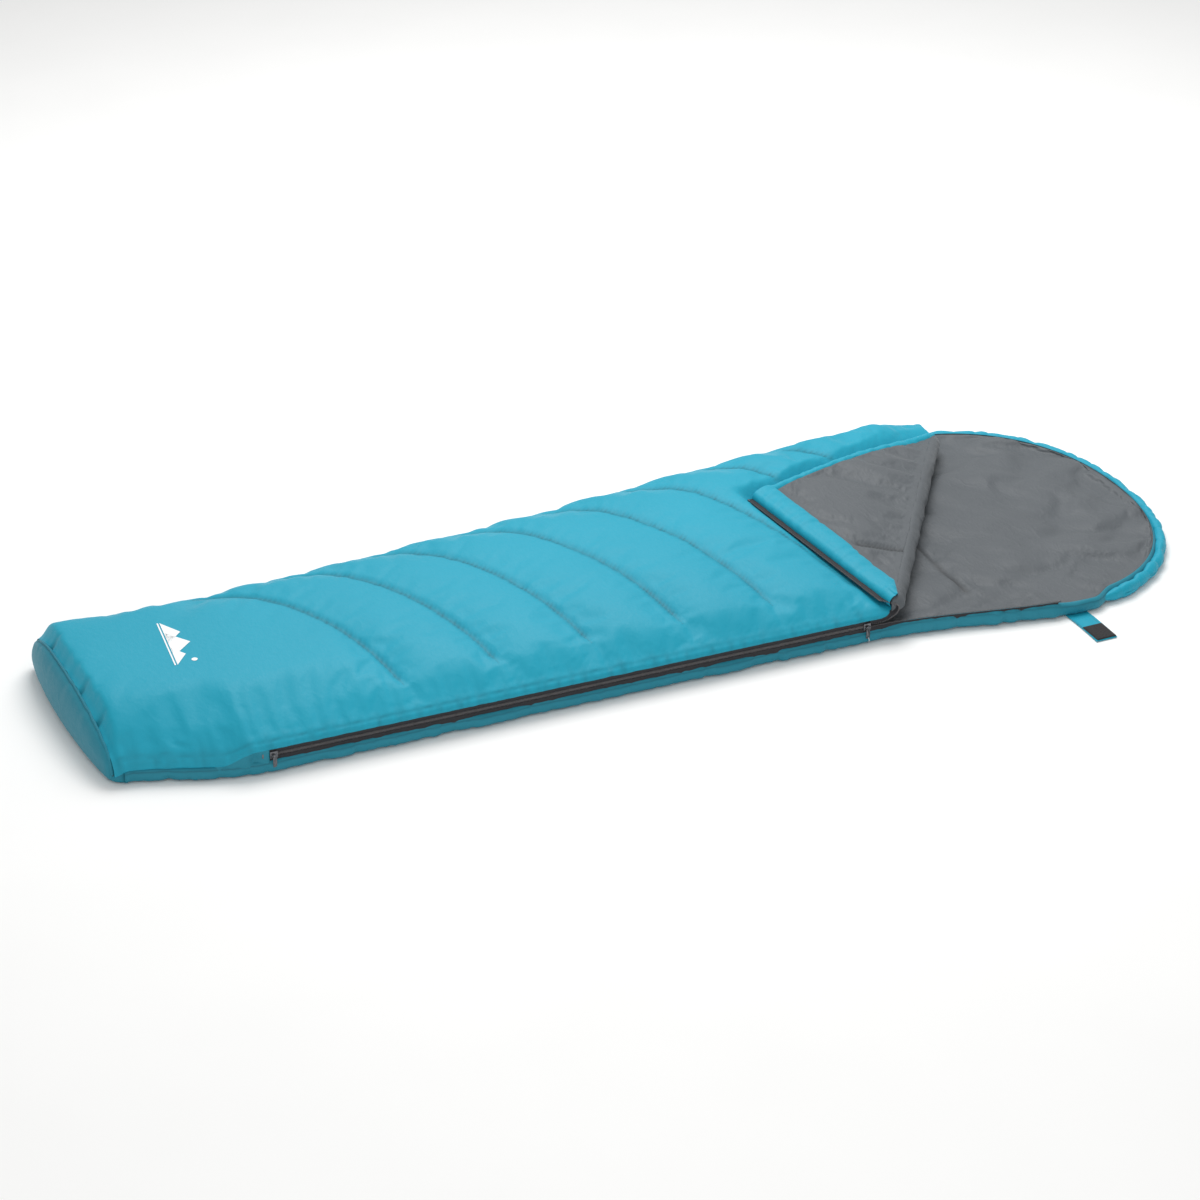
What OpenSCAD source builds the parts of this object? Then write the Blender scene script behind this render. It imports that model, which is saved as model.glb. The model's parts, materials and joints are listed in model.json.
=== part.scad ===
// Tapered semi-rectangular sleeping bag with a half-round hood and a two-way side zip.
// The zip is open at the shoulder, and the free corner of the top quilt is turned back.
// Millimetres. +X runs from the foot to the hood, +Y to the closed side, +Z is up.
// The origin is on the floor, under the middle of the bag's length.

/* [Outline] */
// Length from the foot panel to the tip of the hood
bag_l = 2170; // [1800:10:2610]
// Width across the shoulders
shoulder_w = 772; // [640:4:930]
// Width across the foot panel
foot_w = 455; // [380:5:550]
// Length of the half-round hood
hood_l = 335; // [280:5:400]
// How far the zip edge stands out from the foot's corner
foot_flare = 58; // [40:2:75]
// How far the zip edge at the open end stays inside the shoulders
shoulder_flare = 70; // [50:2:90]

/* [Quilts] */
// Thickness of the bottom quilt
bottom_t = 25.2; // [20:0.4:31]
// Thickness of the top quilt at its crown
top_t = 30; // [25:1:36]
// Height of the top quilt's crown above the floor
crown_h = 96; // [90:1:116]
// Height of the foot panel at its middle
foot_h = 104; // [87:1:125]
// Depth of the foot panel's padding
foot_t = 24; // [18:1:30]
// Thickness of a face fabric or lining layer with its quilting
cloth_t = 1.2; // [0.9:0.1:1.5]
// Thickness of a sewn edge, where the layers come together
seam_t = 4; // [3.4:0.2:5]

/* [Turned corner] */
// Length of zip edge that is turned back, from the head hem
fold_back = 435; // [360:5:525]
// Length of head hem that is turned back
hem_turned = 530; // [440:5:600]
// Length of head hem that stays flat at the closed side
hem_left = 75; // [60:5:92]
// Height of the fold line above the floor
fold_h = 60; // [57:1:72]
// Thickness of the turned corner
flap_t = 22; // [18:1:26]
// Slope of the turned corner where it lies on the top quilt, in degrees
flap_tilt = 5; // [4:0.5:6]
// Width of the draft tube beside the zip on the turned corner
flap_tube_w = 55; // [44:1:66]

/* [Zip] */
// Distance from the foot panel to the zip's closed end
zip_from_foot = 255; // [210:5:310]
// Height of the zip's centre line above the bottom quilt
zip_up = 10.8; // [10:0.2:12]
// Radius of one coil of the zip
coil_r = 1.5; // [1.2:0.1:1.7]
// Width of the zip tape between the coil and its seam
tape_w = 11.9; // [11:0.1:12.5]
// Thickness of the zip tape
tape_t = 0.8; // [0.6:0.1:1]
// Length of the slider's body
slider_l = 14; // [12:0.5:17]
// Length of the pull tab
pull_l = 22; // [19:0.5:23]
// Radius of the pull ring, to the middle of its wire
ring_r = 5; // [4.2:0.2:5.4]

/* [Hood and closure tab] */
// Width of the gathered casing round the hood
casing_w = 22; // [18:1:26]
// Height of the gathered casing
casing_h = 28; // [24:1:33]
// Radius of the elastic inside the casing
elastic_r = 1.5; // [1.2:0.1:2]
// Width of the closure tab
tab_w = 44; // [36:1:52]
// Length of the closure tab beyond the edge
tab_l = 107; // [90:1:128]
// Length of the hook patch on the tab
hook_l = 52; // [44:1:62]

/* [Hidden] */
$fn = 48;

// Colours
teal = [0.23, 0.65, 0.74];
dark_teal = [0.25, 0.51, 0.57];
grey = [0.45, 0.47, 0.49];
wadding = [0.93, 0.93, 0.9];
black = [0.17, 0.18, 0.2];
metal = [0.72, 0.73, 0.75];

// Clearance between soft pieces, and between the halves of a fold
soft_gap = 0.3;
fold_gap = 0.3;

// Places along the bag
foot_x = -bag_l / 2;
tip_x = bag_l / 2;
hood_x = tip_x - hood_l;
widest_x = hood_x + 30;
hem_x = hood_x + 65;
hood_hinge_x = hem_x + 15;
zip_x = foot_x + zip_from_foot;
zip_h = bottom_t + zip_up;
fold_x = hem_x - fold_back;
slider_x = fold_x - 50;
quilt_x = foot_x + foot_t + 1;

// Half widths that the edges pass through
zip_w_foot = foot_w / 2 + foot_flare;
zip_w_head = shoulder_w / 2 - shoulder_flare;
foot_corner_near = foot_w / 2 - 12;
foot_corner_far = foot_w / 2 + 12;
hood_power = 2.2;

function clamp(t) = min(1, max(0, t));
function smooth(t) = let(c = clamp(t)) c * c * (3 - 2 * c);
function mix(a, b, t) = a + (b - a) * t;
function ease_out_of_foot(t) = t * t * (1.5 - 0.5 * t * t);

// Half width of the hood at a place along the bag
function hood_w(x) =
    shoulder_w / 2 * pow(1 - pow(clamp((x - hood_x) / hood_l), hood_power), 1 / hood_power);

// Distance from the centre line to the zip edge
function near_w(x) =
    x >= widest_x ? hood_w(x) :
    x >= slider_x ? mix(zip_w_head, hood_w(widest_x), smooth((x - slider_x) / (widest_x - slider_x))) :
    x >= zip_x ? mix(zip_w_foot, zip_w_head, (x - zip_x) / (slider_x - zip_x)) :
    mix(foot_corner_near, zip_w_foot, smooth((x - foot_x) / (zip_x - foot_x)));

// Distance from the centre line to the closed edge
function far_w(x) =
    x >= widest_x ? hood_w(x) :
    mix(foot_corner_far, hood_w(widest_x), ease_out_of_foot((x - foot_x) / (widest_x - foot_x)));

// ---- Bottom quilt -------------------------------------------------------

// Places along the bag where its outline has a point
function steps(a, b, n) = [for (i = [0 : n - 1]) mix(a, b, i / n)];
bottom_end_x = hood_hinge_x - fold_gap / 2;
open_edge_x = concat(steps(slider_x, widest_x, 12), steps(widest_x, bottom_end_x, 3), [bottom_end_x]);
near_x = concat(steps(quilt_x, zip_x, 8), [zip_x], open_edge_x);
far_x = concat(steps(quilt_x, widest_x, 24), steps(widest_x, bottom_end_x, 3), [bottom_end_x]);

function reverse(list) = [for (i = [len(list) - 1 : -1 : 0]) list[i]];
function outline(inset) = concat(
    [for (x = near_x) [x, -near_w(x) + inset]],
    [for (x = reverse(far_x)) [x, far_w(x) - inset]]);

module slab(points, z0, z1) {
    translate([0, 0, z0])
        linear_extrude(height = z1 - z0)
            polygon(points);
}

module bottom_outer_shell() {
    color(dark_teal)
        difference() {
            slab(outline(0), 0, bottom_t);
            slab(outline(cloth_t), cloth_t, bottom_t + 1);
        }
}

module bottom_filling() {
    color(wadding)
        slab(outline(cloth_t), cloth_t, bottom_t - cloth_t);
}

module bottom_lining() {
    color(grey)
        slab(outline(cloth_t), bottom_t - cloth_t, bottom_t);
}

// ---- Fold line ----------------------------------------------------------

// The fold runs from the zip edge to the head hem, and it is the flap's hinge axis
fold_near = [fold_x, -near_w(fold_x)];
fold_far = [hem_x, far_w(hem_x) - hem_left];
fold_l = norm(fold_far - fold_near);
fold_dir = (fold_far - fold_near) / fold_l;
fold_side = [-fold_dir[1], fold_dir[0]];
fold_angle = atan2(fold_dir[1], fold_dir[0]);

// Where the corner lies when it is turned forward again, seen from the fold line
corner = [hem_x, fold_far[1] - hem_turned] - fold_near;
corner_along = corner * fold_dir;
corner_out = -corner * fold_side;

// Height of the plane that the turned corner lies on
function rest_plane(p) = fold_h + tan(flap_tilt) * max(0, (p - fold_near) * fold_side);

// ---- Top quilt ----------------------------------------------------------

// The top quilt is a grid of points, with rows along the bag and columns across it
rows = 26;
cols = 14;
quilt_power = 3;
edge_z = bottom_t;
zip_edge_z = zip_h + 10;
crown_run = 400;
taper_from = quilt_x + 10;
taper_run = 85;
edge_gap = soft_gap;

function across(j) = 0.5 - 0.5 * cos(180 * j / cols);
first_row = (foot_t + 1) / (fold_x - foot_x);
function along(i) = i == 0 ? 0 : mix(first_row, 1, pow((i - 1) / (rows - 1), 1.15));

// End of each column, on the fold line or on the flat stretch of the head hem
hem_share = 1 - hem_left / (far_w(hem_x) - fold_near[1]);
function column_end(j) = let(v = across(j))
    v <= hem_share ? fold_near + (fold_far - fold_near) * v / hem_share + fold_side * fold_gap :
    [hem_x, mix(fold_far[1], far_w(hem_x), (v - hem_share) / (1 - hem_share))];

function width_point(x, v) = mix(edge_gap - near_w(x), far_w(x), v);
function grid_point(i, j) =
    let(e = column_end(j), r = along(i), v = across(j), x = mix(foot_x, e[0], r))
    [x, width_point(x, v) + pow(r, 3) * (e[1] - width_point(e[0], v))];

// Bulge of the quilt across the bag, from 0 at an edge to 1 at the crown
function bulge(v) = sqrt(1 - pow(abs(2 * v - 1), quilt_power));
function edge_under(x, v) =
    mix(edge_z + (zip_edge_z - edge_z) * smooth((x - zip_x + 75) / 60), edge_z, v);
function crown(x) = mix(foot_h, crown_h, smooth((x - quilt_x) / crown_run));
function fullness(x) = smooth((x - taper_from) / taper_run);
function top_z(p, v) = min(rest_plane(p),
    let(e = edge_under(p[0], v) + seam_t) e + (crown(p[0]) - e) * bulge(v));
function under_z(p, v) =
    let(full = fullness(p[0]) * bulge(v),
        dome = let(e = edge_under(p[0], v) + seam_t) e + (crown(p[0]) - e) * bulge(v))
    min(dome - mix(seam_t, top_t, full), rest_plane(p) - mix(seam_t, flap_t + 2, full));

// A layer between two heights over the grid: 0 is the underside and 1 is the top
function layer_z(i, j, side) =
    let(p = grid_point(i, j), v = across(j), z1 = top_z(p, v), z0 = under_z(p, v))
    side == 3 ? z1 : side == 2 ? z1 - cloth_t : side == 1 ? z0 + cloth_t : z0;
function grid_layer(side) =
    [for (i = [0 : rows], j = [0 : cols]) let(p = grid_point(i, j)) [p[0], p[1], layer_z(i, j, side)]];

// Triangles of a closed layer over the grid
function at(i, j) = i * (cols + 1) + j;
under = (rows + 1) * (cols + 1);
layer_faces = concat(
    [for (i = [0 : rows - 1], j = [0 : cols - 1]) each [
        [at(i, j), at(i, j + 1), at(i + 1, j + 1)],
        [at(i, j), at(i + 1, j + 1), at(i + 1, j)],
        [under + at(i, j), under + at(i + 1, j), under + at(i + 1, j + 1)],
        [under + at(i, j), under + at(i + 1, j + 1), under + at(i, j + 1)]]],
    [for (i = [0 : rows - 1]) each [
        [at(i, 0), at(i + 1, 0), under + at(i + 1, 0)],
        [at(i, 0), under + at(i + 1, 0), under + at(i, 0)],
        [at(i + 1, cols), at(i, cols), under + at(i, cols)],
        [at(i + 1, cols), under + at(i, cols), under + at(i + 1, cols)]]],
    [for (j = [0 : cols - 1]) each [
        [at(0, j + 1), at(0, j), under + at(0, j)],
        [at(0, j + 1), under + at(0, j), under + at(0, j + 1)],
        [at(rows, j), at(rows, j + 1), under + at(rows, j + 1)],
        [at(rows, j), under + at(rows, j + 1), under + at(rows, j)]]]);

module quilt_layer(upper, lower) {
    polyhedron(points = concat(grid_layer(upper), grid_layer(lower)), faces = layer_faces);
}

module top_outer_shell() {
    color(teal)
        quilt_layer(3, 2);
}

module top_filling() {
    color(wadding)
        quilt_layer(2, 1);
}

module top_lining() {
    color(grey)
        quilt_layer(1, 0);
}

// ---- Foot panel ---------------------------------------------------------

// The padded end panel stands on the floor, under the edge of the top quilt
foot_outline = concat(
    [for (j = [0 : cols]) [grid_point(0, j)[1], layer_z(0, j, 0) - soft_gap]],
    [[grid_point(0, cols)[1], 0], [grid_point(0, 0)[1], 0]]);

module foot_layer(x0, x1) {
    translate([x0, 0, 0])
        rotate([90, 0, 90])
            linear_extrude(height = x1 - x0)
                polygon(foot_outline);
}

module foot_outer_panel() {
    color(dark_teal)
        foot_layer(foot_x, foot_x + cloth_t);
}

module foot_filling() {
    color(wadding)
        foot_layer(foot_x + cloth_t, foot_x + foot_t - cloth_t);
}

module foot_lining() {
    color(grey)
        foot_layer(foot_x + foot_t - cloth_t, foot_x + foot_t);
}

// ---- Zip ----------------------------------------------------------------

// The closed zip runs straight, in a frame of its own: +X towards the slider, -Y outwards
zip_run = [slider_x - zip_x, zip_w_foot - zip_w_head];
zip_l = norm(zip_run);
zip_angle = atan2(zip_run[1], zip_run[0]);

// Slot between the two coils, in which the slider's wedge runs
slot = 2.2;
coil_off = slot / 2 + coil_r;
tape_end = coil_off + coil_r;

module in_zip_frame() {
    translate([zip_x, -zip_w_foot, 0])
        rotate([0, 0, zip_angle])
            children();
}

module rod(x0, x1, y, z, r) {
    translate([x0, y, z])
        rotate([0, 90, 0])
            cylinder(h = x1 - x0, r = r);
}

module zip_strip(z0) {
    in_zip_frame()
        translate([0, -tape_t, z0])
            cube([zip_l, tape_t, tape_w]);
}

// A strip that follows the open zip edge, between two distances outside it
tape_stop_x = hood_x - 50;
strip_x = concat([for (x = open_edge_x) if (x < tape_stop_x - 1) x], [tape_stop_x]);
module edge_strip(outside, inside, z0, z1) {
    slab(concat(
        [for (x = strip_x) [x, -near_w(x) - outside]],
        [for (x = reverse(strip_x)) [x, -near_w(x) + inside]]), z0, z1);
}

module zip_tape_lower() {
    color(black) {
        zip_strip(zip_h - tape_end - tape_w);
        edge_strip(tape_t, 0, zip_h - tape_end - tape_w, zip_h - tape_end);
    }
}

module zip_tape_upper() {
    color(black)
        zip_strip(zip_h + tape_end);
}

module zip_coil_lower() {
    color(black) {
        in_zip_frame()
            rod(0, zip_l, -tape_t / 2, zip_h - coil_off, coil_r);
        edge_strip(tape_t / 2 + coil_r, coil_r - tape_t / 2,
            zip_h - coil_off - coil_r, zip_h - coil_off + coil_r);
    }
}

module zip_coil_upper() {
    color(black)
        in_zip_frame()
            rod(0, zip_l, -tape_t / 2, zip_h + coil_off, coil_r);
}

// The stop that closes the zip's foot end, across both coils
stop_l = 5;
module zip_foot_stop() {
    color(metal)
        in_zip_frame()
            translate([-stop_l, -tape_t / 2 - coil_r, zip_h - tape_end])
                cube([stop_l, 2 * coil_r, 2 * tape_end]);
}

// The stop at the head end of the lower half of the zip
module zip_head_stop() {
    color(metal)
        translate([tape_stop_x, -near_w(tape_stop_x) - tape_t / 2 - coil_r, zip_h - tape_end])
            cube([stop_l, 2 * coil_r, 2 * coil_r]);
}

// The padded tube inside the closed zip keeps the draught out
tube_r = 9;
tube_inset = 16;
module draft_tube() {
    color(grey)
        in_zip_frame()
            rod(30, zip_l - 40, tube_inset, bottom_t + soft_gap + tube_r, tube_r);
}

// ---- Sliders ------------------------------------------------------------

// A slider is two plates round the coils, a wedge between them and a bridge for its pull
plate_t = 1.4;
plate_h = 13;
plate_gap = 0.4;
wedge_t = 1.6;
pin_r = 1;
pin_out = 7.5;
post_t = 1.6;
eye_r = 2.4;
eye_l = 6;
outer_face = -tape_t / 2 - coil_r - plate_gap;
inner_face = coil_r - tape_t / 2 + plate_gap;

module slider_plate(y) {
    translate([-slider_l / 2, y, zip_h - plate_h / 2])
        cube([slider_l, plate_t, plate_h]);
}

module slider_body() {
    color(metal)
        union() {
            slider_plate(outer_face - plate_t);
            slider_plate(inner_face);
            translate([-slider_l / 4, outer_face - plate_t / 2, zip_h - wedge_t / 2])
                cube([slider_l / 2, inner_face - outer_face + plate_t, wedge_t]);
            for (side = [-1, 1])
                translate([side * (eye_l / 2 + soft_gap + post_t / 2) - post_t / 2,
                    -pin_out - pin_r, zip_h - pin_r])
                    cube([post_t, pin_out + pin_r + outer_face - plate_t / 2, 2 * pin_r]);
            rod(-eye_l / 2 - 1, eye_l / 2 + 1, -pin_out, zip_h, pin_r);
        }
}

// The pull hangs from the slider's pin by an eye, and it may carry a ring in a hole
pull_w = 7;
pull_t = 1.2;
hole_up = 2.8;
hole_r = 1.8;
wire_r = 0.8;
eye_hole_r = pin_r + 0.3;
ring_z = zip_h - pull_l + hole_up;

module pull_tab(with_hole) {
    color(metal)
        difference() {
            union() {
                rod(-eye_l / 2, eye_l / 2, -pin_out, zip_h, eye_r);
                translate([-pull_w / 2, -pin_out - pull_t / 2, zip_h - pull_l])
                    cube([pull_w, pull_t, pull_l - eye_r / 2 - pin_r]);
            }
            rod(-eye_l, eye_l, -pin_out, zip_h, eye_hole_r);
            if (with_hole)
                translate([0, -pin_out + pull_t, ring_z])
                    rotate([90, 0, 0])
                        cylinder(h = 2 * pull_t, r = hole_r);
        }
}

module at_upper_slider() {
    in_zip_frame()
        translate([zip_l, 0, 0])
            children();
}

lower_slider_at = 16;
module at_lower_slider() {
    in_zip_frame()
        translate([lower_slider_at, 0, 0])
            children();
}

module upper_slider() {
    at_upper_slider()
        slider_body();
}

module upper_pull_tab() {
    at_upper_slider()
        pull_tab(true);
}

module upper_pull_ring() {
    color(metal)
        at_upper_slider()
            translate([0, -pin_out, ring_z - ring_r])
                rotate([0, 90, 0])
                    rotate_extrude()
                        translate([ring_r, 0])
                            circle(r = wire_r);
}

module lower_slider() {
    at_lower_slider()
        slider_body();
}

module lower_pull_tab() {
    at_lower_slider()
        pull_tab(false);
}

// ---- Turned corner ------------------------------------------------------

// The flap's own frame: +X along the fold line, +Y over the top quilt, Z off its plane
loop_t = 1.5;
flap_z = soft_gap + loop_t;
flap_corners = [[0, fold_gap], [fold_l, fold_gap], [corner_along, corner_out]];
zip_side_l = norm(flap_corners[2] - flap_corners[0]);
zip_side_angle = atan2(flap_corners[2][1] - fold_gap, flap_corners[2][0]);
hem_side_l = norm(flap_corners[2] - flap_corners[1]);
hem_side_angle = atan2(flap_corners[2][1] - fold_gap, flap_corners[2][0] - fold_l);

// The same triangle, moved in by a distance from all three sides
flap_perimeter = fold_l + zip_side_l + hem_side_l;
flap_middle = (flap_corners[0] * hem_side_l + flap_corners[1] * zip_side_l
    + flap_corners[2] * fold_l) / flap_perimeter;
flap_inner_r = fold_l * (corner_out - fold_gap) / flap_perimeter;
function flap_outline(inset) =
    [for (p = flap_corners) flap_middle + (p - flap_middle) * (1 - inset / flap_inner_r)];

module in_flap_frame() {
    translate([fold_near[0], fold_near[1], fold_h])
        rotate([0, 0, fold_angle])
            rotate([flap_tilt, 0, 0])
                children();
}

// Along the zip side of the flap, with +Y outwards
module on_zip_side() {
    in_flap_frame()
        translate([0, fold_gap, flap_z])
            rotate([0, 0, zip_side_angle])
                children();
}

module flap_outer_shell() {
    color(teal)
        in_flap_frame()
            difference() {
                slab(flap_outline(0), flap_z, flap_z + flap_t);
                slab(flap_outline(cloth_t), flap_z + cloth_t, flap_z + flap_t + 1);
            }
}

module flap_filling() {
    color(wadding)
        in_flap_frame()
            slab(flap_outline(cloth_t), flap_z + cloth_t, flap_z + flap_t - cloth_t);
}

module flap_lining() {
    color(grey)
        in_flap_frame()
            slab(flap_outline(cloth_t), flap_z + flap_t - cloth_t, flap_z + flap_t);
}

flap_tube_h = 6;
module flap_draft_tube() {
    color(teal)
        on_zip_side()
            translate([(flap_tube_w + 5) / tan(zip_side_angle), -flap_tube_w, flap_t])
                cube([zip_side_l - 1 - (flap_tube_w + 5) / tan(zip_side_angle),
                    flap_tube_w - 1, flap_tube_h]);
}

module flap_head_binding() {
    color(teal)
        in_flap_frame()
            translate([fold_l, fold_gap, flap_z])
                rotate([0, 0, hem_side_angle])
                    translate([0, -cloth_t, 0])
                        cube([hem_side_l, cloth_t, flap_t]);
}

flap_tape_z = 9;
flap_zip_start = 20;
module flap_zip_tape() {
    color(black)
        on_zip_side()
            translate([flap_zip_start, 0, flap_tape_z])
                cube([zip_side_l - flap_zip_start, tape_w, tape_t]);
}

module flap_zip_coil() {
    color(black)
        on_zip_side()
            rod(flap_zip_start, zip_side_l - stop_l, tape_w + coil_r, flap_tape_z + tape_t / 2, coil_r);
}

module flap_zip_stop() {
    color(metal)
        on_zip_side()
            translate([zip_side_l - stop_l, tape_w, flap_tape_z + tape_t / 2 - coil_r])
                cube([stop_l, 2 * coil_r, 2 * coil_r]);
}

// The loop patch that the closure tab sticks to, on the face fabric near the corner
loop_l = 45;
loop_w = 30;
loop_inset = 20;
module flap_loop_patch() {
    color(black)
        on_zip_side()
            translate([zip_side_l - loop_l - loop_inset, -loop_w - loop_inset, -loop_t])
                cube([loop_l, loop_w, loop_t]);
}

// ---- Hood ---------------------------------------------------------------

// Points along the hood's edge, from the zip side round the tip to the closed side
hood_steps = 40;
hood_start_x = hood_hinge_x + fold_gap / 2;
hood_start_angle = asin(pow((hood_start_x - hood_x) / hood_l, hood_power / 2));
function hood_angle(i) = mix(hood_start_angle - 90, 90 - hood_start_angle, i / hood_steps);
function power_of(c) = sign(c) * pow(abs(c), 2 / hood_power);
function hood_point(a) = [hood_x + hood_l * power_of(cos(a)), shoulder_w / 2 * power_of(sin(a))];
function hood_out(a) = let(d = hood_point(a + 0.5) - hood_point(a - 0.5)) [d[1], -d[0]] / norm(d);
function hood_inside(a, inset) = hood_point(a) - hood_out(a) * inset;
function hood_outline(inset) = concat(
    [[hood_start_x, -near_w(hood_start_x) + inset]],
    [for (i = [1 : hood_steps - 1]) hood_inside(hood_angle(i), inset)],
    [[hood_start_x, far_w(hood_start_x) - inset]]);

hood_edge = casing_w + soft_gap;
module hood_slab(inset, z0, z1) {
    intersection() {
        slab(hood_outline(inset), z0, z1);
        translate([hood_start_x, -shoulder_w, 0])
            cube([hood_l, 2 * shoulder_w, casing_h * 2]);
    }
}

module hood_outer_shell() {
    color(dark_teal)
        difference() {
            hood_slab(hood_edge, 0, bottom_t);
            slab(concat([[hood_x, -shoulder_w / 2 + hood_edge + cloth_t]],
                hood_outline(hood_edge + cloth_t),
                [[hood_x, shoulder_w / 2 - hood_edge - cloth_t]]), cloth_t, bottom_t + 1);
        }
}

module hood_filling() {
    color(wadding)
        hood_slab(hood_edge + cloth_t, cloth_t, bottom_t - cloth_t);
}

module hood_lining() {
    color(grey)
        hood_slab(hood_edge + cloth_t, bottom_t - cloth_t, bottom_t);
}

// The casing is a sleeve swept along the edge, with the elastic's channel through it
casing_steps = 44;
sides = 12;
casing_trim = 3;
function casing_angle(i) =
    mix(hood_start_angle - 90 + casing_trim, 90 - hood_start_angle - casing_trim, i / casing_steps);
function ring_at(i, half_w, half_h) =
    let(a = casing_angle(i), n = hood_out(a), c = hood_inside(a, casing_w / 2))
    [for (k = [0 : sides - 1]) let(t = 360 * k / sides)
        [c[0] + n[0] * half_w * cos(t), c[1] + n[1] * half_w * cos(t), casing_h / 2 + half_h * sin(t)]];
function sleeve_points(half_w, half_h) = [for (i = [0 : casing_steps]) each ring_at(i, half_w, half_h)];
function wall(first, i, k) = let(a = first + i * sides + k, b = first + i * sides + (k + 1) % sides)
    [a, b, b + sides, a + sides];
function quad(q) = [[q[0], q[1], q[2]], [q[0], q[2], q[3]]];
function flip(q) = [q[3], q[2], q[1], q[0]];
ring_count = (casing_steps + 1) * sides;

module hood_casing() {
    channel_r = elastic_r + soft_gap;
    last = casing_steps * sides;
    color(teal)
        polyhedron(
            points = concat(sleeve_points(casing_w / 2, casing_h / 2), sleeve_points(channel_r, channel_r)),
            faces = concat(
                [for (i = [0 : casing_steps - 1], k = [0 : sides - 1]) each quad(flip(wall(0, i, k)))],
                [for (i = [0 : casing_steps - 1], k = [0 : sides - 1]) each quad(wall(ring_count, i, k))],
                [for (k = [0 : sides - 1]) let(n = (k + 1) % sides)
                    each quad([k, n, ring_count + n, ring_count + k])],
                [for (k = [0 : sides - 1]) let(n = (k + 1) % sides)
                    each quad([last + n, last + k, ring_count + last + k, ring_count + last + n])]));
}

module hood_elastic() {
    last = casing_steps * sides;
    color(wadding)
        polyhedron(
            points = sleeve_points(elastic_r, elastic_r),
            faces = concat(
                [for (i = [0 : casing_steps - 1], k = [0 : sides - 1]) each quad(flip(wall(0, i, k)))],
                [[for (k = [0 : sides - 1]) k]],
                [[for (k = [sides - 1 : -1 : 0]) last + k]]));
}

// ---- Closure tab --------------------------------------------------------

tab_x = widest_x - 64;
tab_root_y = -near_w(tab_x + tab_w) - soft_gap;
strap_t = 1.6;
hook_t = 1.8;
hook_margin = 2;

module tab_strap() {
    color(teal)
        translate([tab_x, tab_root_y - tab_l, 0])
            cube([tab_w, tab_l, strap_t]);
}

module tab_hook_patch() {
    color(black)
        translate([tab_x + hook_margin, tab_root_y - tab_l + hook_margin, strap_t])
            cube([tab_w - 2 * hook_margin, hook_l, hook_t]);
}

bottom_outer_shell();
bottom_filling();
bottom_lining();
top_outer_shell();
top_filling();
top_lining();
foot_outer_panel();
foot_filling();
foot_lining();
zip_tape_lower();
zip_tape_upper();
zip_coil_lower();
zip_coil_upper();
zip_foot_stop();
zip_head_stop();
draft_tube();
flap_outer_shell();
flap_filling();
flap_lining();
flap_draft_tube();
flap_head_binding();
flap_zip_tape();
flap_zip_coil();
flap_zip_stop();
flap_loop_patch();
hood_outer_shell();
hood_filling();
hood_lining();
hood_casing();
hood_elastic();
upper_slider();
upper_pull_tab();
upper_pull_ring();
lower_slider();
lower_pull_tab();
tab_strap();
tab_hook_patch();
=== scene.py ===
# %% [markdown]
# # A tapered sleeping bag with one corner turned back
# The bag is two quilts, a foot panel, a two-way zip and a gathered hood. The imported model gives the
# frame: every piece made here is in metres in that frame, and most of them ride on one of its bodies.

# %% The frame
import json
import math
import bpy
import bmesh
from mathutils import Matrix, Vector, noise
from mathutils.bvhtree import BVHTree
from mathutils.kdtree import KDTree

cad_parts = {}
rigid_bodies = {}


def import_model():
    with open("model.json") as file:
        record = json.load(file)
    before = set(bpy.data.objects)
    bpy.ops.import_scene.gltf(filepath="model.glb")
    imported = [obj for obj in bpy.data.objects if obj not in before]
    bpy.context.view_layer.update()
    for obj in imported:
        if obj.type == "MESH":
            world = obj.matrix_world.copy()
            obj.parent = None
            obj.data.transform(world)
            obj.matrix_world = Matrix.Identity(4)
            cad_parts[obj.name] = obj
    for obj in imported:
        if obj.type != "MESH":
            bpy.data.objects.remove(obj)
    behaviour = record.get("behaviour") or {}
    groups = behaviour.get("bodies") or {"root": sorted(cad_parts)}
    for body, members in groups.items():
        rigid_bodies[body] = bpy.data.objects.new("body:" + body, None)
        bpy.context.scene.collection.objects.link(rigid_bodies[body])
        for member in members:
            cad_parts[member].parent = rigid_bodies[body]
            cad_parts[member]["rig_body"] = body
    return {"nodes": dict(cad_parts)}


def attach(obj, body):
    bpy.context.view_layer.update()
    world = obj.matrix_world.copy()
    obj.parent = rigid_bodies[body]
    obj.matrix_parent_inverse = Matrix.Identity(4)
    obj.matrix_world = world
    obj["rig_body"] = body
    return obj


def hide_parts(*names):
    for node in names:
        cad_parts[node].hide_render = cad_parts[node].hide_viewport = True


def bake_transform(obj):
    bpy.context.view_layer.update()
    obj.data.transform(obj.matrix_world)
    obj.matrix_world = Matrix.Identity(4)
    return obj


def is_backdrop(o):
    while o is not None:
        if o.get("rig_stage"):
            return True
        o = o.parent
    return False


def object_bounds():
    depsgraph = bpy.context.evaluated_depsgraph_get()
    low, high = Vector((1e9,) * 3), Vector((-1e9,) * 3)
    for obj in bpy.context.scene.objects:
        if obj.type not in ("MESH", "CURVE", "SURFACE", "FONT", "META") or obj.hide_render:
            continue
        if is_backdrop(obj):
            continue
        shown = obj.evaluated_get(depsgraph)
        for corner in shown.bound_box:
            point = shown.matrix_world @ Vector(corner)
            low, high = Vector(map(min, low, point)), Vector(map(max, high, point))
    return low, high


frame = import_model()
cad_box = [list(corner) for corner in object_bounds()]
nodes = frame["nodes"]
print("frame box:", [[round(c, 3) for c in corner] for corner in cad_box])

# %% [markdown]
# The camera comes first. It is a long lens that looks down at the bag from its zip side, so the
# camera is turned towards the head and tipped down.

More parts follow.
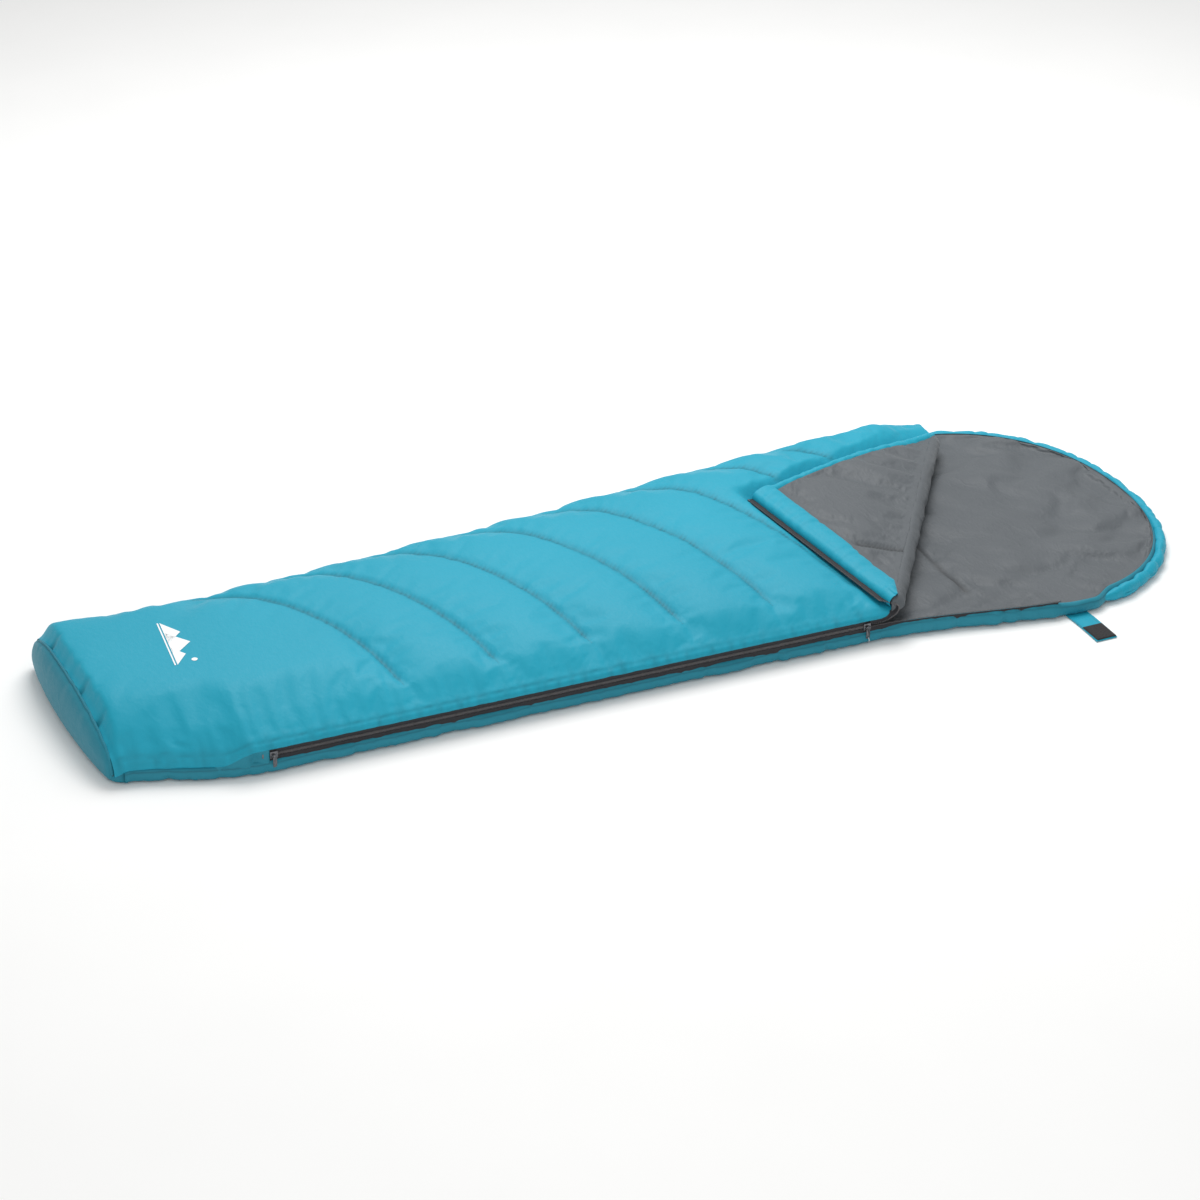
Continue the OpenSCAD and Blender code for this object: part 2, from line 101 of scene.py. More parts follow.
# %% Camera
YAW, PITCH, LENS = math.radians(24.87), math.radians(28.64), 109.6
camera = bpy.data.objects.new("camera", bpy.data.cameras.new("camera"))
camera.data.lens = LENS
camera.data.sensor_width = 36
camera.location = (-2.573, -5.418, 3.285)
camera.rotation_euler = (math.pi / 2 - PITCH, 0, -YAW)
bpy.context.scene.collection.objects.link(camera)
bpy.context.scene.camera = camera
print("camera stands", round((camera.location - Vector((0, 0, 0))).length, 2), "m away")

# %% [markdown]
# Soft light comes from large panels: one high over the far side, so that the zip side falls into
# shade, and a weak one in front. A pale floor catches a soft shadow.

# %% Floor and studio light
def panel_light(name, place, aim, size, power):
    """A square soft light that looks from one place at another."""
    lamp = bpy.data.objects.new(name, bpy.data.lights.new(name, "AREA"))
    lamp.data.size, lamp.data.energy = size, power
    lamp.location = place
    lamp.rotation_euler = (Vector(aim) - Vector(place)).to_track_quat("-Z", "Y").to_euler()
    bpy.context.scene.collection.objects.link(lamp)

panel_light("sky_panel", (0.7, 1.4, 3.2), (0.2, 0, 0), 2.4, 102)
panel_light("front_panel", (-1.6, -3.6, 2.4), (0.2, 0, 0), 2.5, 30)
world = bpy.data.worlds.new("studio")
world.use_nodes = True
world.node_tree.nodes["Background"].inputs[0].default_value = (1, 1, 1, 1)
world.node_tree.nodes["Background"].inputs[1].default_value = 0.58
bpy.context.scene.world = world
bpy.context.scene.view_settings.view_transform = "Standard"
floor_mesh = bmesh.new()
bmesh.ops.create_grid(floor_mesh, x_segments=1, y_segments=1, size=30)
bmesh.ops.translate(floor_mesh, verts=floor_mesh.verts, vec=(0, 0, -0.0005))
floor = bpy.data.objects.new("studio_floor", bpy.data.meshes.new("studio_floor"))
floor_mesh.to_mesh(floor.data)
bpy.context.scene.collection.objects.link(floor)
floor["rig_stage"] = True

# %% [markdown]
# ## Finishes
# A finish is a small network of nodes. Writing it as sums and products keeps it readable, so one
# class wraps a socket and turns Python's operators into Math nodes.

# %% Shader arithmetic
class Wire:
    """A number that varies over a surface, held as a socket of a material."""
    def __init__(self, finish, socket):
        self.finish, self.socket = finish, socket

    def math(self, operation, first, second=0.0):
        return self.finish.add("ShaderNodeMath", {"operation": operation}, {0: first, 1: second})

    def __add__(self, other): return self.math("ADD", self, other)
    def __radd__(self, other): return self.math("ADD", other, self)
    def __sub__(self, other): return self.math("SUBTRACT", self, other)
    def __rsub__(self, other): return self.math("SUBTRACT", other, self)
    def __mul__(self, other): return self.math("MULTIPLY", self, other)
    def __rmul__(self, other): return self.math("MULTIPLY", other, self)


class Finish:
    """One material: its nodes are added one by one, and its shader's sockets are set last."""
    def __init__(self, name):
        self.material = bpy.data.materials.new(name)
        self.material.use_nodes = True
        self.tree = self.material.node_tree
        self.shader = self.tree.nodes["Principled BSDF"]

    def add(self, kind, settings=None, inputs=None, output=0):
        node = self.tree.nodes.new(kind)
        for name, value in (settings or {}).items():
            setattr(node, name, value)
        for name, value in (inputs or {}).items():
            self.put(node.inputs[name], value)
        return Wire(self, node.outputs[output])

    def put(self, socket, value):
        if isinstance(value, Wire):
            self.tree.links.new(value.socket, socket)
        else:
            socket.default_value = value

    def place(self, scale=(1, 1, 1), turn=0.0):
        """Object coordinates in metres, scaled and turned about the vertical."""
        spot = self.add("ShaderNodeTexCoord", output="Object")
        return self.add("ShaderNodeMapping", {}, {"Vector": spot, "Scale": scale, "Rotation": (0, 0, turn)})

    def cloud(self, scale, detail=3.0, stretch=(1, 1, 1), turn=0.0):
        return self.add("ShaderNodeTexNoise", {}, {"Vector": self.place(stretch, turn), "Scale": scale,
                                                   "Detail": detail, "Roughness": 0.55})

    def ribs(self, scale, direction="X"):
        return self.add("ShaderNodeTexWave", {"bands_direction": direction, "wave_profile": "SIN"},
                        {"Vector": self.place(), "Scale": scale, "Distortion": 0.0})

    def range(self, value, low, high):
        return self.add("ShaderNodeMapRange", {"clamp": True},
                        {"Value": value, "From Min": low, "From Max": high,
                         "To Min": 0.0, "To Max": 1.0})

    def blend(self, share, first, second):
        return self.add("ShaderNodeMix", {"data_type": "RGBA"}, {0: share, 6: first, 7: second}, output=2)

    def measure(self, name):
        return self.add("ShaderNodeAttribute", {"attribute_name": name}, output="Fac")

    def relief(self, height, depth, distance, under=None):
        inputs = {"Height": height, "Strength": depth, "Distance": distance}
        if under is not None:
            inputs["Normal"] = under
        return self.add("ShaderNodeBump", {}, inputs)

    def set(self, **values):
        for name, value in values.items():
            self.put(self.shader.inputs[name.replace("_", " ")], value)
        return self.material


def srgb(red, green, blue):
    """A screen colour from 0 to 255 as the linear colour that a shader takes."""
    def linear(c):
        return c / 12.92 if c <= 0.04045 else ((c + 0.055) / 1.055) ** 2.4
    return (linear(red / 255), linear(green / 255), linear(blue / 255), 1.0)

print("shader tools ready")

# %% [markdown]
# The face fabric is a thin nylon taffeta. It has a fine plain weave, a soft sheen and small crinkles
# that the wadding presses out. Shade is painted into its colour down in the seams, where the
# gathered cloth lies in shadow.
# The lining and the base use the same cloth in other colours, so one function makes all three. The
# base's darker, greyer teal is partly painted shade, for the sides and the foot that face away from the
# light.

# %% Woven cloth
THREADS, SLUBS, CRINKLES, CREASES, PATCHES = 420, 900, 75, 24, 2.2
# How dark the painted shade in the seams is, as a share of the cloth's dark colour.
SEAM_SHADE = 0.30

def taffeta(name, light, dark, roughness, sheen, crinkle=1.0):
    """The scales above are in cycles over a metre or so, from the threads to broad patches."""
    f = Finish(name)
    patches = f.range(f.cloud(PATCHES, 2.0), 0.3, 0.7)
    slubs = f.range(f.cloud(SLUBS, 1.0, (1, 0.08, 1)), 0.35, 0.65)
    # Painted shade: the seam number blends the colour towards a darkened copy in seams and creases.
    seam = f.measure("seam")
    tone = f.blend(patches * 0.35 + slubs * 0.12, light, dark)
    seam_shade_colour = tuple(c * SEAM_SHADE for c in dark[:3]) + (1,)
    shaded = f.blend(seam * 0.85, tone, seam_shade_colour)
    weave = f.ribs(THREADS) * 0.5 + f.ribs(THREADS, "Y") * 0.5
    folds = f.cloud(CREASES, 3.0, (1, 0.6, 1), 0.6) - 0.5
    from_fold = f.add("ShaderNodeMath", {"operation": "ABSOLUTE"}, {0: folds})
    creases = 1 - f.range(from_fold, 0.0, 0.09)
    normal = f.relief(weave, 0.12, 0.0004)
    normal = f.relief(f.cloud(CRINKLES, 3.0), 0.14 * crinkle, 0.002, normal)
    normal = f.relief(creases, 0.09 * crinkle, 0.003, normal)
    return f.set(Base_Color=shaded, Roughness=roughness + slubs * 0.08 - 0.04, Normal=normal,
                 Sheen_Weight=sheen, Sheen_Roughness=0.4, Specular_IOR_Level=0.28)

face_cloth = taffeta("teal_taffeta", srgb(23, 158, 184), srgb(15, 143, 168), 0.55, 0.04)
# The base's darker, greyer teal is partly painted shade: the base's side and the foot panel stand in shade.
base_cloth_with_shade = taffeta("dark_teal_and_shade_taffeta", srgb(36, 132, 152), srgb(26, 116, 136), 0.58, 0.08)
lining_cloth = taffeta("grey_lining", srgb(92, 97, 101), srgb(77, 82, 86), 0.5, 0.05, 1.8)
print("cloths:", face_cloth.name, base_cloth_with_shade.name, lining_cloth.name)

# %% [markdown]
# Zip tape is a dense black herringbone ribbon, and the coil is smooth black nylon. The sliders are
# plated dark, with faint scratches, and the ring is bright. Hook and loop tape is a mat of tiny
# stiff loops.

# %% Tape, nylon, metal and hook tape
def zip_ribbon():
    f = Finish("zip_ribbon")
    twill = f.ribs(260, "DIAGONAL") * 0.6 + f.ribs(700, "X") * 0.4
    tone = f.blend(twill, srgb(27, 27, 31), srgb(46, 45, 49))
    return f.set(Base_Color=tone, Roughness=0.8, Sheen_Weight=0.05, Normal=f.relief(twill, 0.4, 0.0005))

def coil_nylon():
    f = Finish("coil_nylon")
    wear = f.cloud(140, 2.0)
    return f.set(Base_Color=f.blend(wear, srgb(82, 80, 82), srgb(112, 109, 110)),
                 Roughness=0.34 + wear * 0.12, Normal=f.relief(wear, 0.1, 0.0003))

def plated(name, bright, dull):
    f = Finish(name)
    scratches = f.cloud(500, 3.0, (1, 6, 1))
    grime = f.range(f.cloud(160, 2.0), 0.45, 0.7)
    return f.set(Base_Color=f.blend(grime * 0.5, bright, dull),
                 Metallic=0.95 - grime * 0.15, Roughness=0.24 + scratches * 0.16,
                 Normal=f.relief(scratches, 0.08, 0.0002))

def hook_tape():
    f = Finish("hook_and_loop")
    hooks = f.add("ShaderNodeTexVoronoi", {"feature": "F1"}, {"Vector": f.place(), "Scale": 900.0})
    fluff = f.cloud(420, 3.0)
    return f.set(Base_Color=f.blend(hooks, srgb(22, 20, 22), srgb(40, 38, 40)), Roughness=0.95,
                 Sheen_Weight=0.1, Normal=f.relief(hooks * 0.7 + fluff * 0.3, 0.9, 0.0012))

def plain_weave(name, light, dark, scale=600.0):
    f = Finish(name)
    weave = f.ribs(scale) * 0.5 + f.ribs(scale, "Y") * 0.5
    fibres = f.cloud(300, 3.0)
    return f.set(Base_Color=f.blend(weave * 0.5 + fibres * 0.5, dark, light), Roughness=0.78,
                 Sheen_Weight=0.3, Normal=f.relief(weave * 0.6 + fibres * 0.4, 0.4, 0.0006))

def print_ink():
    f = Finish("white_ink")
    wear = f.range(f.cloud(420, 4.0), 0.30, 0.42)
    return f.set(Base_Color=f.blend(wear, srgb(196, 214, 219), srgb(240, 243, 244)), Roughness=0.6,
                 Normal=f.relief(f.cloud(700, 2.0), 0.15, 0.0002))

tape_finish, coil_finish, hook_finish = zip_ribbon(), coil_nylon(), hook_tape()
metal_finish = plated("gunmetal_plate", srgb(112, 113, 117), srgb(70, 71, 75))
ring_finish = plated("nickel_plate", srgb(206, 207, 209), srgb(150, 150, 152))
elastic_finish = plain_weave("elastic", srgb(232, 232, 228), srgb(190, 190, 186))
wadding_finish = plain_weave("wadding", srgb(242, 242, 238), srgb(222, 222, 216), 90.0)
teal_thread = plain_weave("teal_thread", srgb(84, 170, 188), srgb(48, 128, 146), 1500.0)
ink_finish = print_ink()

def floor_finish():
    f = Finish("studio_floor")
    tone = f.blend(f.cloud(3, 2.0), srgb(244, 244, 243), srgb(248, 248, 247))
    return f.set(Base_Color=tone, Roughness=0.9)

floor.data.materials.append(floor_finish())
print("trim finishes ready")

# %% [markdown]
# ## The outline of the bag
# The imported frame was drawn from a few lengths, and the cloth follows the same rules: a straight
# zip edge, a closed edge that swells from the foot to the shoulders, and a half-round hood.

# %% Lengths and the outline rules
FOOT_X, TIP_X = cad_box[0][0], cad_box[1][0]
HOOD_L, SHOULDER_W, FOOT_W = 0.335, 0.772, 0.455
HOOD_X = TIP_X - HOOD_L
WIDEST_X, HEM_X = HOOD_X + 0.030, HOOD_X + 0.065
HINGE_X = HEM_X + 0.015
ZIP_X = FOOT_X + 0.255
FOLD_X = HEM_X - 0.435
SLIDER_X = FOLD_X - 0.050
ZIP_W_FOOT, ZIP_W_HEAD = FOOT_W / 2 + 0.058, SHOULDER_W / 2 - 0.070
BOTTOM_T, SEAM_T, TOP_T, FLAP_T = 0.0252, 0.004, 0.030, 0.022
ZIP_H = BOTTOM_T + 0.0108
FOOT_H, CROWN_H, FOLD_H = 0.104, 0.096, 0.060
HEM_LEFT, HEM_TURNED = 0.075, 0.530
FOOT_SKEW = 0.012
TILT = math.radians(5)
ROUND = 2.2

def mix(a, b, t):
    return a + (b - a) * t

def smooth(t):
    t = min(1.0, max(0.0, t))
    return t * t * (3 - 2 * t)

def band(distance, width):
    """1 on a line, fading to 0 at about twice the width beside it."""
    return math.exp(-(distance / width) ** 2)

def off_ends(t, share):
    """0 at both ends of a span from 0 to 1, and 1 from the given share inwards."""
    return smooth(min(t, 1 - t) / share)

def hood_w(x):
    t = min(1.0, max(0.0, (x - HOOD_X) / HOOD_L))
    return SHOULDER_W / 2 * (1 - t ** ROUND) ** (1 / ROUND)

def near_w(x):
    if x >= WIDEST_X:
        return hood_w(x)
    if x >= SLIDER_X:
        return mix(ZIP_W_HEAD, hood_w(WIDEST_X), smooth((x - SLIDER_X) / (WIDEST_X - SLIDER_X)))
    if x >= ZIP_X:
        return mix(ZIP_W_FOOT, ZIP_W_HEAD, (x - ZIP_X) / (SLIDER_X - ZIP_X))
    return mix(FOOT_W / 2 - FOOT_SKEW, ZIP_W_FOOT, smooth((x - FOOT_X) / (ZIP_X - FOOT_X)))

def far_w(x):
    if x >= WIDEST_X:
        return hood_w(x)
    t = (x - FOOT_X) / (WIDEST_X - FOOT_X)
    return mix(FOOT_W / 2 + FOOT_SKEW, hood_w(WIDEST_X), t * t * (1.5 - 0.5 * t * t))

fold_near = Vector((FOLD_X, -near_w(FOLD_X), FOLD_H))
fold_far = Vector((HEM_X, far_w(HEM_X) - HEM_LEFT, FOLD_H))
FOLD_L = (fold_far - fold_near).length
fold_dir = (fold_far - fold_near).normalized()
fold_side = Vector((-fold_dir.y, fold_dir.x, 0))
corner = Vector((HEM_X, fold_far.y - HEM_TURNED, FOLD_H)) - fold_near
CORNER_ALONG, CORNER_OUT = corner.dot(fold_dir), -corner.dot(fold_side)
print("fold line", round(FOLD_L, 3), "m long; the corner reaches", round(CORNER_OUT, 3), "m over the quilt")

# %% [markdown]
# ## Tools for cloth
# Most pieces here are sheets. Each starts as a flat grid, and every corner of the grid is moved to
# its place by a rule. A sleeve is the same grid rolled up, with its long edges merged.

# %% Grids, sleeves and finished pieces
def ripple(x, y=0.0, seed=0.0):
    """Smooth noise from -1 to 1 that is the same on every run."""
    return noise.noise(Vector((x, y, seed)))

def finish_piece(name, bm, material, body=None, levels=0, thickness=0.0):
    """Makes an object of a bmesh, shades it smooth, gives it a material and lets it ride on a body."""
    piece = bpy.data.objects.new(name, bpy.data.meshes.new(name))
    bm.to_mesh(piece.data)
    bm.free()
    piece.data.polygons.foreach_set("use_smooth", [True] * len(piece.data.polygons))
    piece.data.materials.append(material)
    bpy.context.scene.collection.objects.link(piece)
    if thickness:
        wall = piece.modifiers.new("cloth_thickness", "SOLIDIFY")
        wall.thickness, wall.offset = thickness, -1
    if levels:
        soft = piece.modifiers.new("soft", "SUBSURF")
        soft.levels = soft.render_levels = levels
    if body:
        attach(piece, body)
    return piece

def mapped_grid(rows, columns, rule):
    """A grid whose corner at shares (u, v) of its length and width lies at rule(u, v)."""
    bm = bmesh.new()
    bmesh.ops.create_grid(bm, x_segments=rows, y_segments=columns, size=0.5)
    for corner in bm.verts:
        corner.co = rule(corner.co.x + 0.5, corner.co.y + 0.5)
    return bm

def sleeve(rows, columns, middle, side, up, width, height):
    """A grid rolled round a line: middle(u) is its line, side(u) and up its section's axes."""
    def rule(u, v):
        a = 2 * math.pi * v
        return middle(u) + side(u) * width(u, a) * math.cos(a) + up * height(u, a) * math.sin(a)
    bm = mapped_grid(rows, columns, rule)
    bmesh.ops.remove_doubles(bm, verts=bm.verts, dist=0.00002)
    ends = [e for e in bm.edges if e.is_boundary]
    bmesh.ops.holes_fill(bm, edges=ends, sides=0)
    bmesh.ops.recalc_face_normals(bm, faces=bm.faces)
    return bm

print("cloth tools ready")

# %% [markdown]
# Wrinkles come from cloth simulation: the sheet is held along its seams, is a little too big for
# its frame as gathered cloth is, and air pressure stands in for the wadding. The result is copied
# back into the mesh, and no point may move further than a limit, so the sheet keeps its place.

# %% Cloth simulation
STEPS = 20

def settle(piece, held, pressure, spare, limit, bending):
    """Lets a sheet buckle between its held corners, and keeps the result."""
    scene = bpy.context.scene
    group = piece.vertex_groups.new(name="held")
    for index, hold in held.items():
        group.add([index], hold, "REPLACE")
    cloth = piece.modifiers.new("settle", "CLOTH")
    s = cloth.settings
    s.quality, s.mass = 4, 0.15
    s.vertex_group_mass = "held"
    s.tension_stiffness = s.compression_stiffness = 8
    s.shear_stiffness, s.bending_stiffness = 4, bending
    s.shrink_min = -spare
    s.use_pressure, s.uniform_pressure_force = True, pressure
    s.effector_weights.gravity = 0
    cloth.collision_settings.use_collision = False
    others = [m for m in piece.modifiers if m.type != "CLOTH"]
    for m in others:
        m.show_viewport = False
    for step in range(1, STEPS + 1):
        scene.frame_set(step)
    result = piece.evaluated_get(bpy.context.evaluated_depsgraph_get()).to_mesh()
    moved = [(a.co - b.co) for a, b in zip(result.vertices, piece.data.vertices)]
    piece.evaluated_get(bpy.context.evaluated_depsgraph_get()).to_mesh_clear()
    piece.modifiers.remove(cloth)
    for v, step in zip(piece.data.vertices, moved):
        v.co += step * min(1.0, limit / max(step.length, 1e-9))
    for m in others:
        m.show_viewport = True
    scene.frame_set(1)
    print(piece.name, "settled; it moved up to", round(max(m.length for m in moved) * 1000, 1), "mm")

print("simulation on")

# %% [markdown]
# ## The top quilt
# The face fabric is quilted to the wadding along curved seams. Each seam leaves the closed edge
# along the bag, turns across it, and stops short of the zip. Between the seams the cloth puffs up,
# so the face is a dome with channels pressed into it.

# %% The dome of the top quilt
QUILT_X = FOOT_X + 0.025
HEM_SHARE = 1 - HEM_LEFT / (far_w(HEM_X) - fold_near.y)

def column_end(v):
    if v <= HEM_SHARE:
        return fold_near + (fold_far - fold_near) * v / HEM_SHARE
    return Vector((HEM_X, mix(fold_far.y, far_w(HEM_X), (v - HEM_SHARE) / (1 - HEM_SHARE)), FOLD_H))

def quilt_place(r, v):
    """Place in plan at a share r of the way from the foot to the fold, and v of the way across."""
    end = column_end(v)
    x = mix(FOOT_X, end.x, r)
    straight = mix(-near_w(end.x), far_w(end.x), v)
    return x, mix(-near_w(x), far_w(x), v) + r ** 3 * (end.y - straight)

CREST = 0.66
def bulge(v):
    """The quilt is highest beyond its middle, and rolls over softly towards the zip."""
    if v < CREST:
        return math.sqrt(max(0.0, 1 - ((CREST - v) / CREST) ** 2.5))
    return math.sqrt(max(0.0, 1 - ((v - CREST) / (1 - CREST)) ** 2.6))

def edge_under(x, v):
    near = mix(BOTTOM_T, ZIP_H + 0.010, smooth((x - ZIP_X + 0.075) / 0.060))
    return mix(near, BOTTOM_T, v)

def rest_plane(x, y):
    return FOLD_H + math.tan(TILT) * max(0.0, (Vector((x, y, FOLD_H)) - fold_near).dot(fold_side))

def dome(x, v):
    edge = edge_under(x, v) + SEAM_T
    return edge + (mix(FOOT_H, CROWN_H, smooth((x - QUILT_X) / 0.4)) - edge) * bulge(v)

def quilt_top(x, y, v):
    return min(rest_plane(x, y), dome(x, v))

def quilt_under(x, y, v):
    full = smooth((x - QUILT_X - 0.010) / 0.085) * bulge(v)
    return min(dome(x, v) - mix(SEAM_T, TOP_T, full), rest_plane(x, y) - mix(SEAM_T, FLAP_T + 0.002, full))

print("crown of the quilt", round(quilt_top(0, 0, 0.5), 4), "m above the floor")

# %% The quilting seams
SEAM_PITCH, FIRST_SEAM_X, SEAM_COUNT = 0.180, -0.545, 8
SEAM_START, SEAM_END = 0.09, 0.90

def seam_x(number, v):
    sweep = 0.05 * v + 0.225 * (1 - math.sqrt(max(0.0, 1 - (v / SEAM_END) ** 2)))
    return FIRST_SEAM_X + SEAM_PITCH * number - sweep

seam_points = []
for number in range(SEAM_COUNT):
    for i in range(101):
        v = mix(SEAM_START, SEAM_END, math.sin(i / 100 * math.pi / 2))
        x = seam_x(number, v)
        if x > FOOT_X + 0.03:
            strength = smooth((v - SEAM_START) / 0.07) * smooth((SEAM_END - v) / 0.03) ** 0.5
            seam_points.append((Vector((x, mix(-near_w(x), far_w(x), v), 0)), strength, number * 3 + v * 9))
seam_tree = KDTree(len(seam_points))
for i, point in enumerate(seam_points):
    seam_tree.insert(point[0], i)
seam_tree.balance()

def nearest_seam(x, y):
    """Distance to the nearest seam, how deep that seam is there, and a place along it."""
    _, index, distance = seam_tree.find(Vector((x, y, 0)))
    return distance, seam_points[index][1], seam_points[index][2]

print(SEAM_COUNT, "seams", SEAM_PITCH, "m apart")

# %% [markdown]
# The turned corner lies on the quilt, so the quilt stays smooth there: the cover rule below is 1
# under the corner and fades to 0 around it.

# %% The turned corner's own frame
FLAP_Z = 0.0018
CORNER_A, CORNER_B = Vector((0, 0)), Vector((FOLD_L, 0))
CORNER_T = Vector((CORNER_ALONG, CORNER_OUT))
ZIP_SIDE, HEM_SIDE = CORNER_T - CORNER_A, CORNER_T - CORNER_B

def side_distance(p, start, along):
    """Distance inside one side of the turned corner."""
    n = Vector((along.y, -along.x)).normalized()
    middle = (CORNER_A + CORNER_B + CORNER_T) / 3
    return (p - start).dot(n) * (1 if (middle - start).dot(n) > 0 else -1)

def flap_point(a, b, h):
    """A point at a along the fold, b over the quilt and h off the corner's plane."""
    return (fold_near + fold_dir * a + fold_side * (b * math.cos(TILT) - h * math.sin(TILT))
            + Vector((0, 0, b * math.sin(TILT) + h * math.cos(TILT))))

def flap_cover(x, y):
    p = Vector((x, y, FOLD_H)) - fold_near
    q = Vector((p.dot(fold_dir), p.dot(fold_side)))
    inside = min(side_distance(q, CORNER_A, ZIP_SIDE), side_distance(q, CORNER_B, HEM_SIDE))
    return smooth((inside + 0.035) / 0.035)

print("zip side", round(ZIP_SIDE.length, 3), "m, hem side", round(HEM_SIDE.length, 3), "m")

# %% The face of the top quilt
LIP, LIP_TURN = 0.05, math.radians(115)
EDGE_PUCKER, STITCH_DENT, STITCH_IN, FAR_HUMP, FOOT_TURN = 0.0045, 0.0016, 0.006, 0.016, 0.007
CHANNEL_DEPTH, CHANNEL_HALF, PUFF, LOFT = 0.0075, 0.0075, 0.005, 0.020
WRINKLE = 0.0026

def across(w):
    """Share across the quilt at a share w of the grid, and how far round the sewn edge it is."""
    if w < LIP:
        return 0.0, (1 - w / LIP)
    if w > 1 - LIP:
        return 1.0, (w - 1 + LIP) / LIP
    t = (w - LIP) / (1 - 2 * LIP)
    return mix(t, 0.5 - 0.5 * math.cos(math.pi * t), 0.6), 0.0

def face_point(u, w):
    v, lip = across(w)
    x, y = quilt_place(u, v)
    z = quilt_top(x, y, v)
    free = 1 - flap_cover(x, y)
    distance, depth, along = nearest_seam(x, y)
    inner = off_ends(v, 0.10)
    front = smooth((x - FOOT_X) / 0.03)
    quilting = LOFT * bulge(v) + PUFF * smooth(distance / 0.06)
    quilting -= CHANNEL_DEPTH * depth * band(distance, CHANNEL_HALF)
    z += free * inner * front * quilting
    z += free * inner * WRINKLE * ripple(along * 5, distance * 14, 3) * math.exp(-distance / 0.035)
    z += free * inner * WRINKLE * ripple(x * 7 + y * 4, y * 9 - x * 3, 8)
    side = -1 if v < 0.5 else 1
    from_edge = abs(y + near_w(x)) if v < 0.5 else abs(far_w(x) - y)
    pucker = ripple(x * 36, 0, 5 * side) + 0.7 * ripple(x * 80, 0, 2 * side) + 0.4 * ripple(x * 150, 0, 7)
    z += EDGE_PUCKER * pucker * math.exp(-from_edge / 0.035) * free * smooth(v * 60) * smooth((1 - v) * 60)
    z -= STITCH_DENT * band(from_edge - STITCH_IN, 0.0024) * (0 if lip else 1) * (1 + 0.7 * pucker)
    hump = math.exp(-((x - 0.70) / 0.060) ** 2 - ((y - 0.345) / 0.050) ** 2)
    z += FAR_HUMP * hump * smooth((1 - v) * 30)
    z -= (1 - front) * FOOT_TURN * (1 + 0.6 * ripple(y * 45, 1) + 0.9 * foot_pleat(y))
    out = 0.004 * (1 - smooth(from_edge / 0.02)) + 0.0015 * pucker * math.exp(-from_edge / 0.02)
    if lip:
        a = LIP_TURN * lip
        out += -0.006 + 0.006 * math.cos(a)
        z -= 0.005 * math.sin(a)
    return pressed(Vector((x + (0.006 * (1 - front)), y + side * out, z)))

FOOT_PLEATS = (0.13, -0.04, -0.13)
def foot_pleat(y):
    return sum(band(y - spot, 0.006) for spot in FOOT_PLEATS)

PRESS_Z, PRESS_FAR, PRESS_FOLD = 0.030, 0.36, 0.16
def pressed(p):
    """The real layers are squeezed where they fold, most of all at the fold's far end."""
    far_end = band((p - fold_far).to_2d().length, 0.16)
    fold = band((p - fold_near).dot(fold_side), 0.07) if p.x > FOLD_X - 0.1 else 0.0
    share = 1 - PRESS_FAR * far_end - PRESS_FOLD * fold * smooth((p - fold_near).dot(fold_dir) / 0.15)
    return Vector((p.x, p.y, PRESS_Z + (p.z - PRESS_Z) * share)) if p.z > PRESS_Z else p

bm = mapped_grid(230, 100, face_point)
held = {}
for v in bm.verts:
    distance, depth, _ = nearest_seam(v.co.x, v.co.y)
    edge = min(abs(v.co.y + near_w(v.co.x)), abs(far_w(v.co.x) - v.co.y))
    on_fold = (v.co - fold_near).dot(fold_side) < 0.02 or v.co.x > HEM_X - 0.02
    if (distance < 0.006 and depth > 0.4) or edge < 0.016 or on_fold or v.co.x < FOOT_X + 0.02:
        held[v.index] = 1.0
    elif flap_cover(v.co.x, v.co.y) > 0.3:
        held[v.index] = 1.0
quilt_face = finish_piece("top_quilt_face", bm, face_cloth, "bag", levels=1)
settle(quilt_face, held, pressure=0.8, spare=0.014, limit=0.012, bending=1.5)

SWELL_FROM, SWELL_ROOM = 0.112, 0.014
for v in quilt_face.data.vertices:
    over = v.co.z - SWELL_FROM
    if over > 0:
        v.co.z = SWELL_FROM + SWELL_ROOM * (1 - math.exp(-over / SWELL_ROOM))
print("crown after settling", round(max(v.co.z for v in quilt_face.data.vertices), 4), "m")

# %% [markdown]
# After the cloth has settled, each corner of the mesh gets a number that says how near a seam it
# is. The finish reads it and paints shade there, darkest down in the seams, where the gathered
# cloth lies in shadow.

# %% Seam shading on the face
# Gives every corner its share of painted seam shade, kept in the seam attribute.
def paint_seam_shade(piece, rule):
    numbers = piece.data.attributes.new("seam", "FLOAT", "POINT")
    for v in piece.data.vertices:
        numbers.data[v.index].value = rule(v.co)

# Painted shade in the seams, in the foot's pleats, on the stitch line beside the zip and in patches along
# the puckered zip edge.
def face_seam_shade(p):
    distance, depth, _ = nearest_seam(p.x, p.y)
    edge = abs(p.y + near_w(p.x))
    foot = foot_pleat(p.y) * band(p.x - FOOT_X, 0.016)
    return min(1.0, max(0.9 * depth * band(distance, 0.0045), foot,
                        0.35 * band(edge - 0.006, 0.002) * (1 + ripple(p.x * 60, 0, 3)),
                        0.45 * band(edge, 0.014) * max(0.0, 0.3 + ripple(p.x * 80, edge * 30, 4))))

paint_seam_shade(quilt_face, face_seam_shade)
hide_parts("top_outer_shell", "top_filling")
print("top quilt face:", len(quilt_face.data.polygons), "faces")

# %% The lining under the top quilt
def lining_point(u, w):
    v = mix(w, 0.5 - 0.5 * math.cos(math.pi * w), 0.6)
    x, y = quilt_place(mix(0.014, 1, u), v)
    calm = off_ends(v, 0.1)
    return pressed(Vector((x, y, quilt_under(x, y, v) + calm * 0.003 * (1 + ripple(x * 8, y * 10, 4)))))

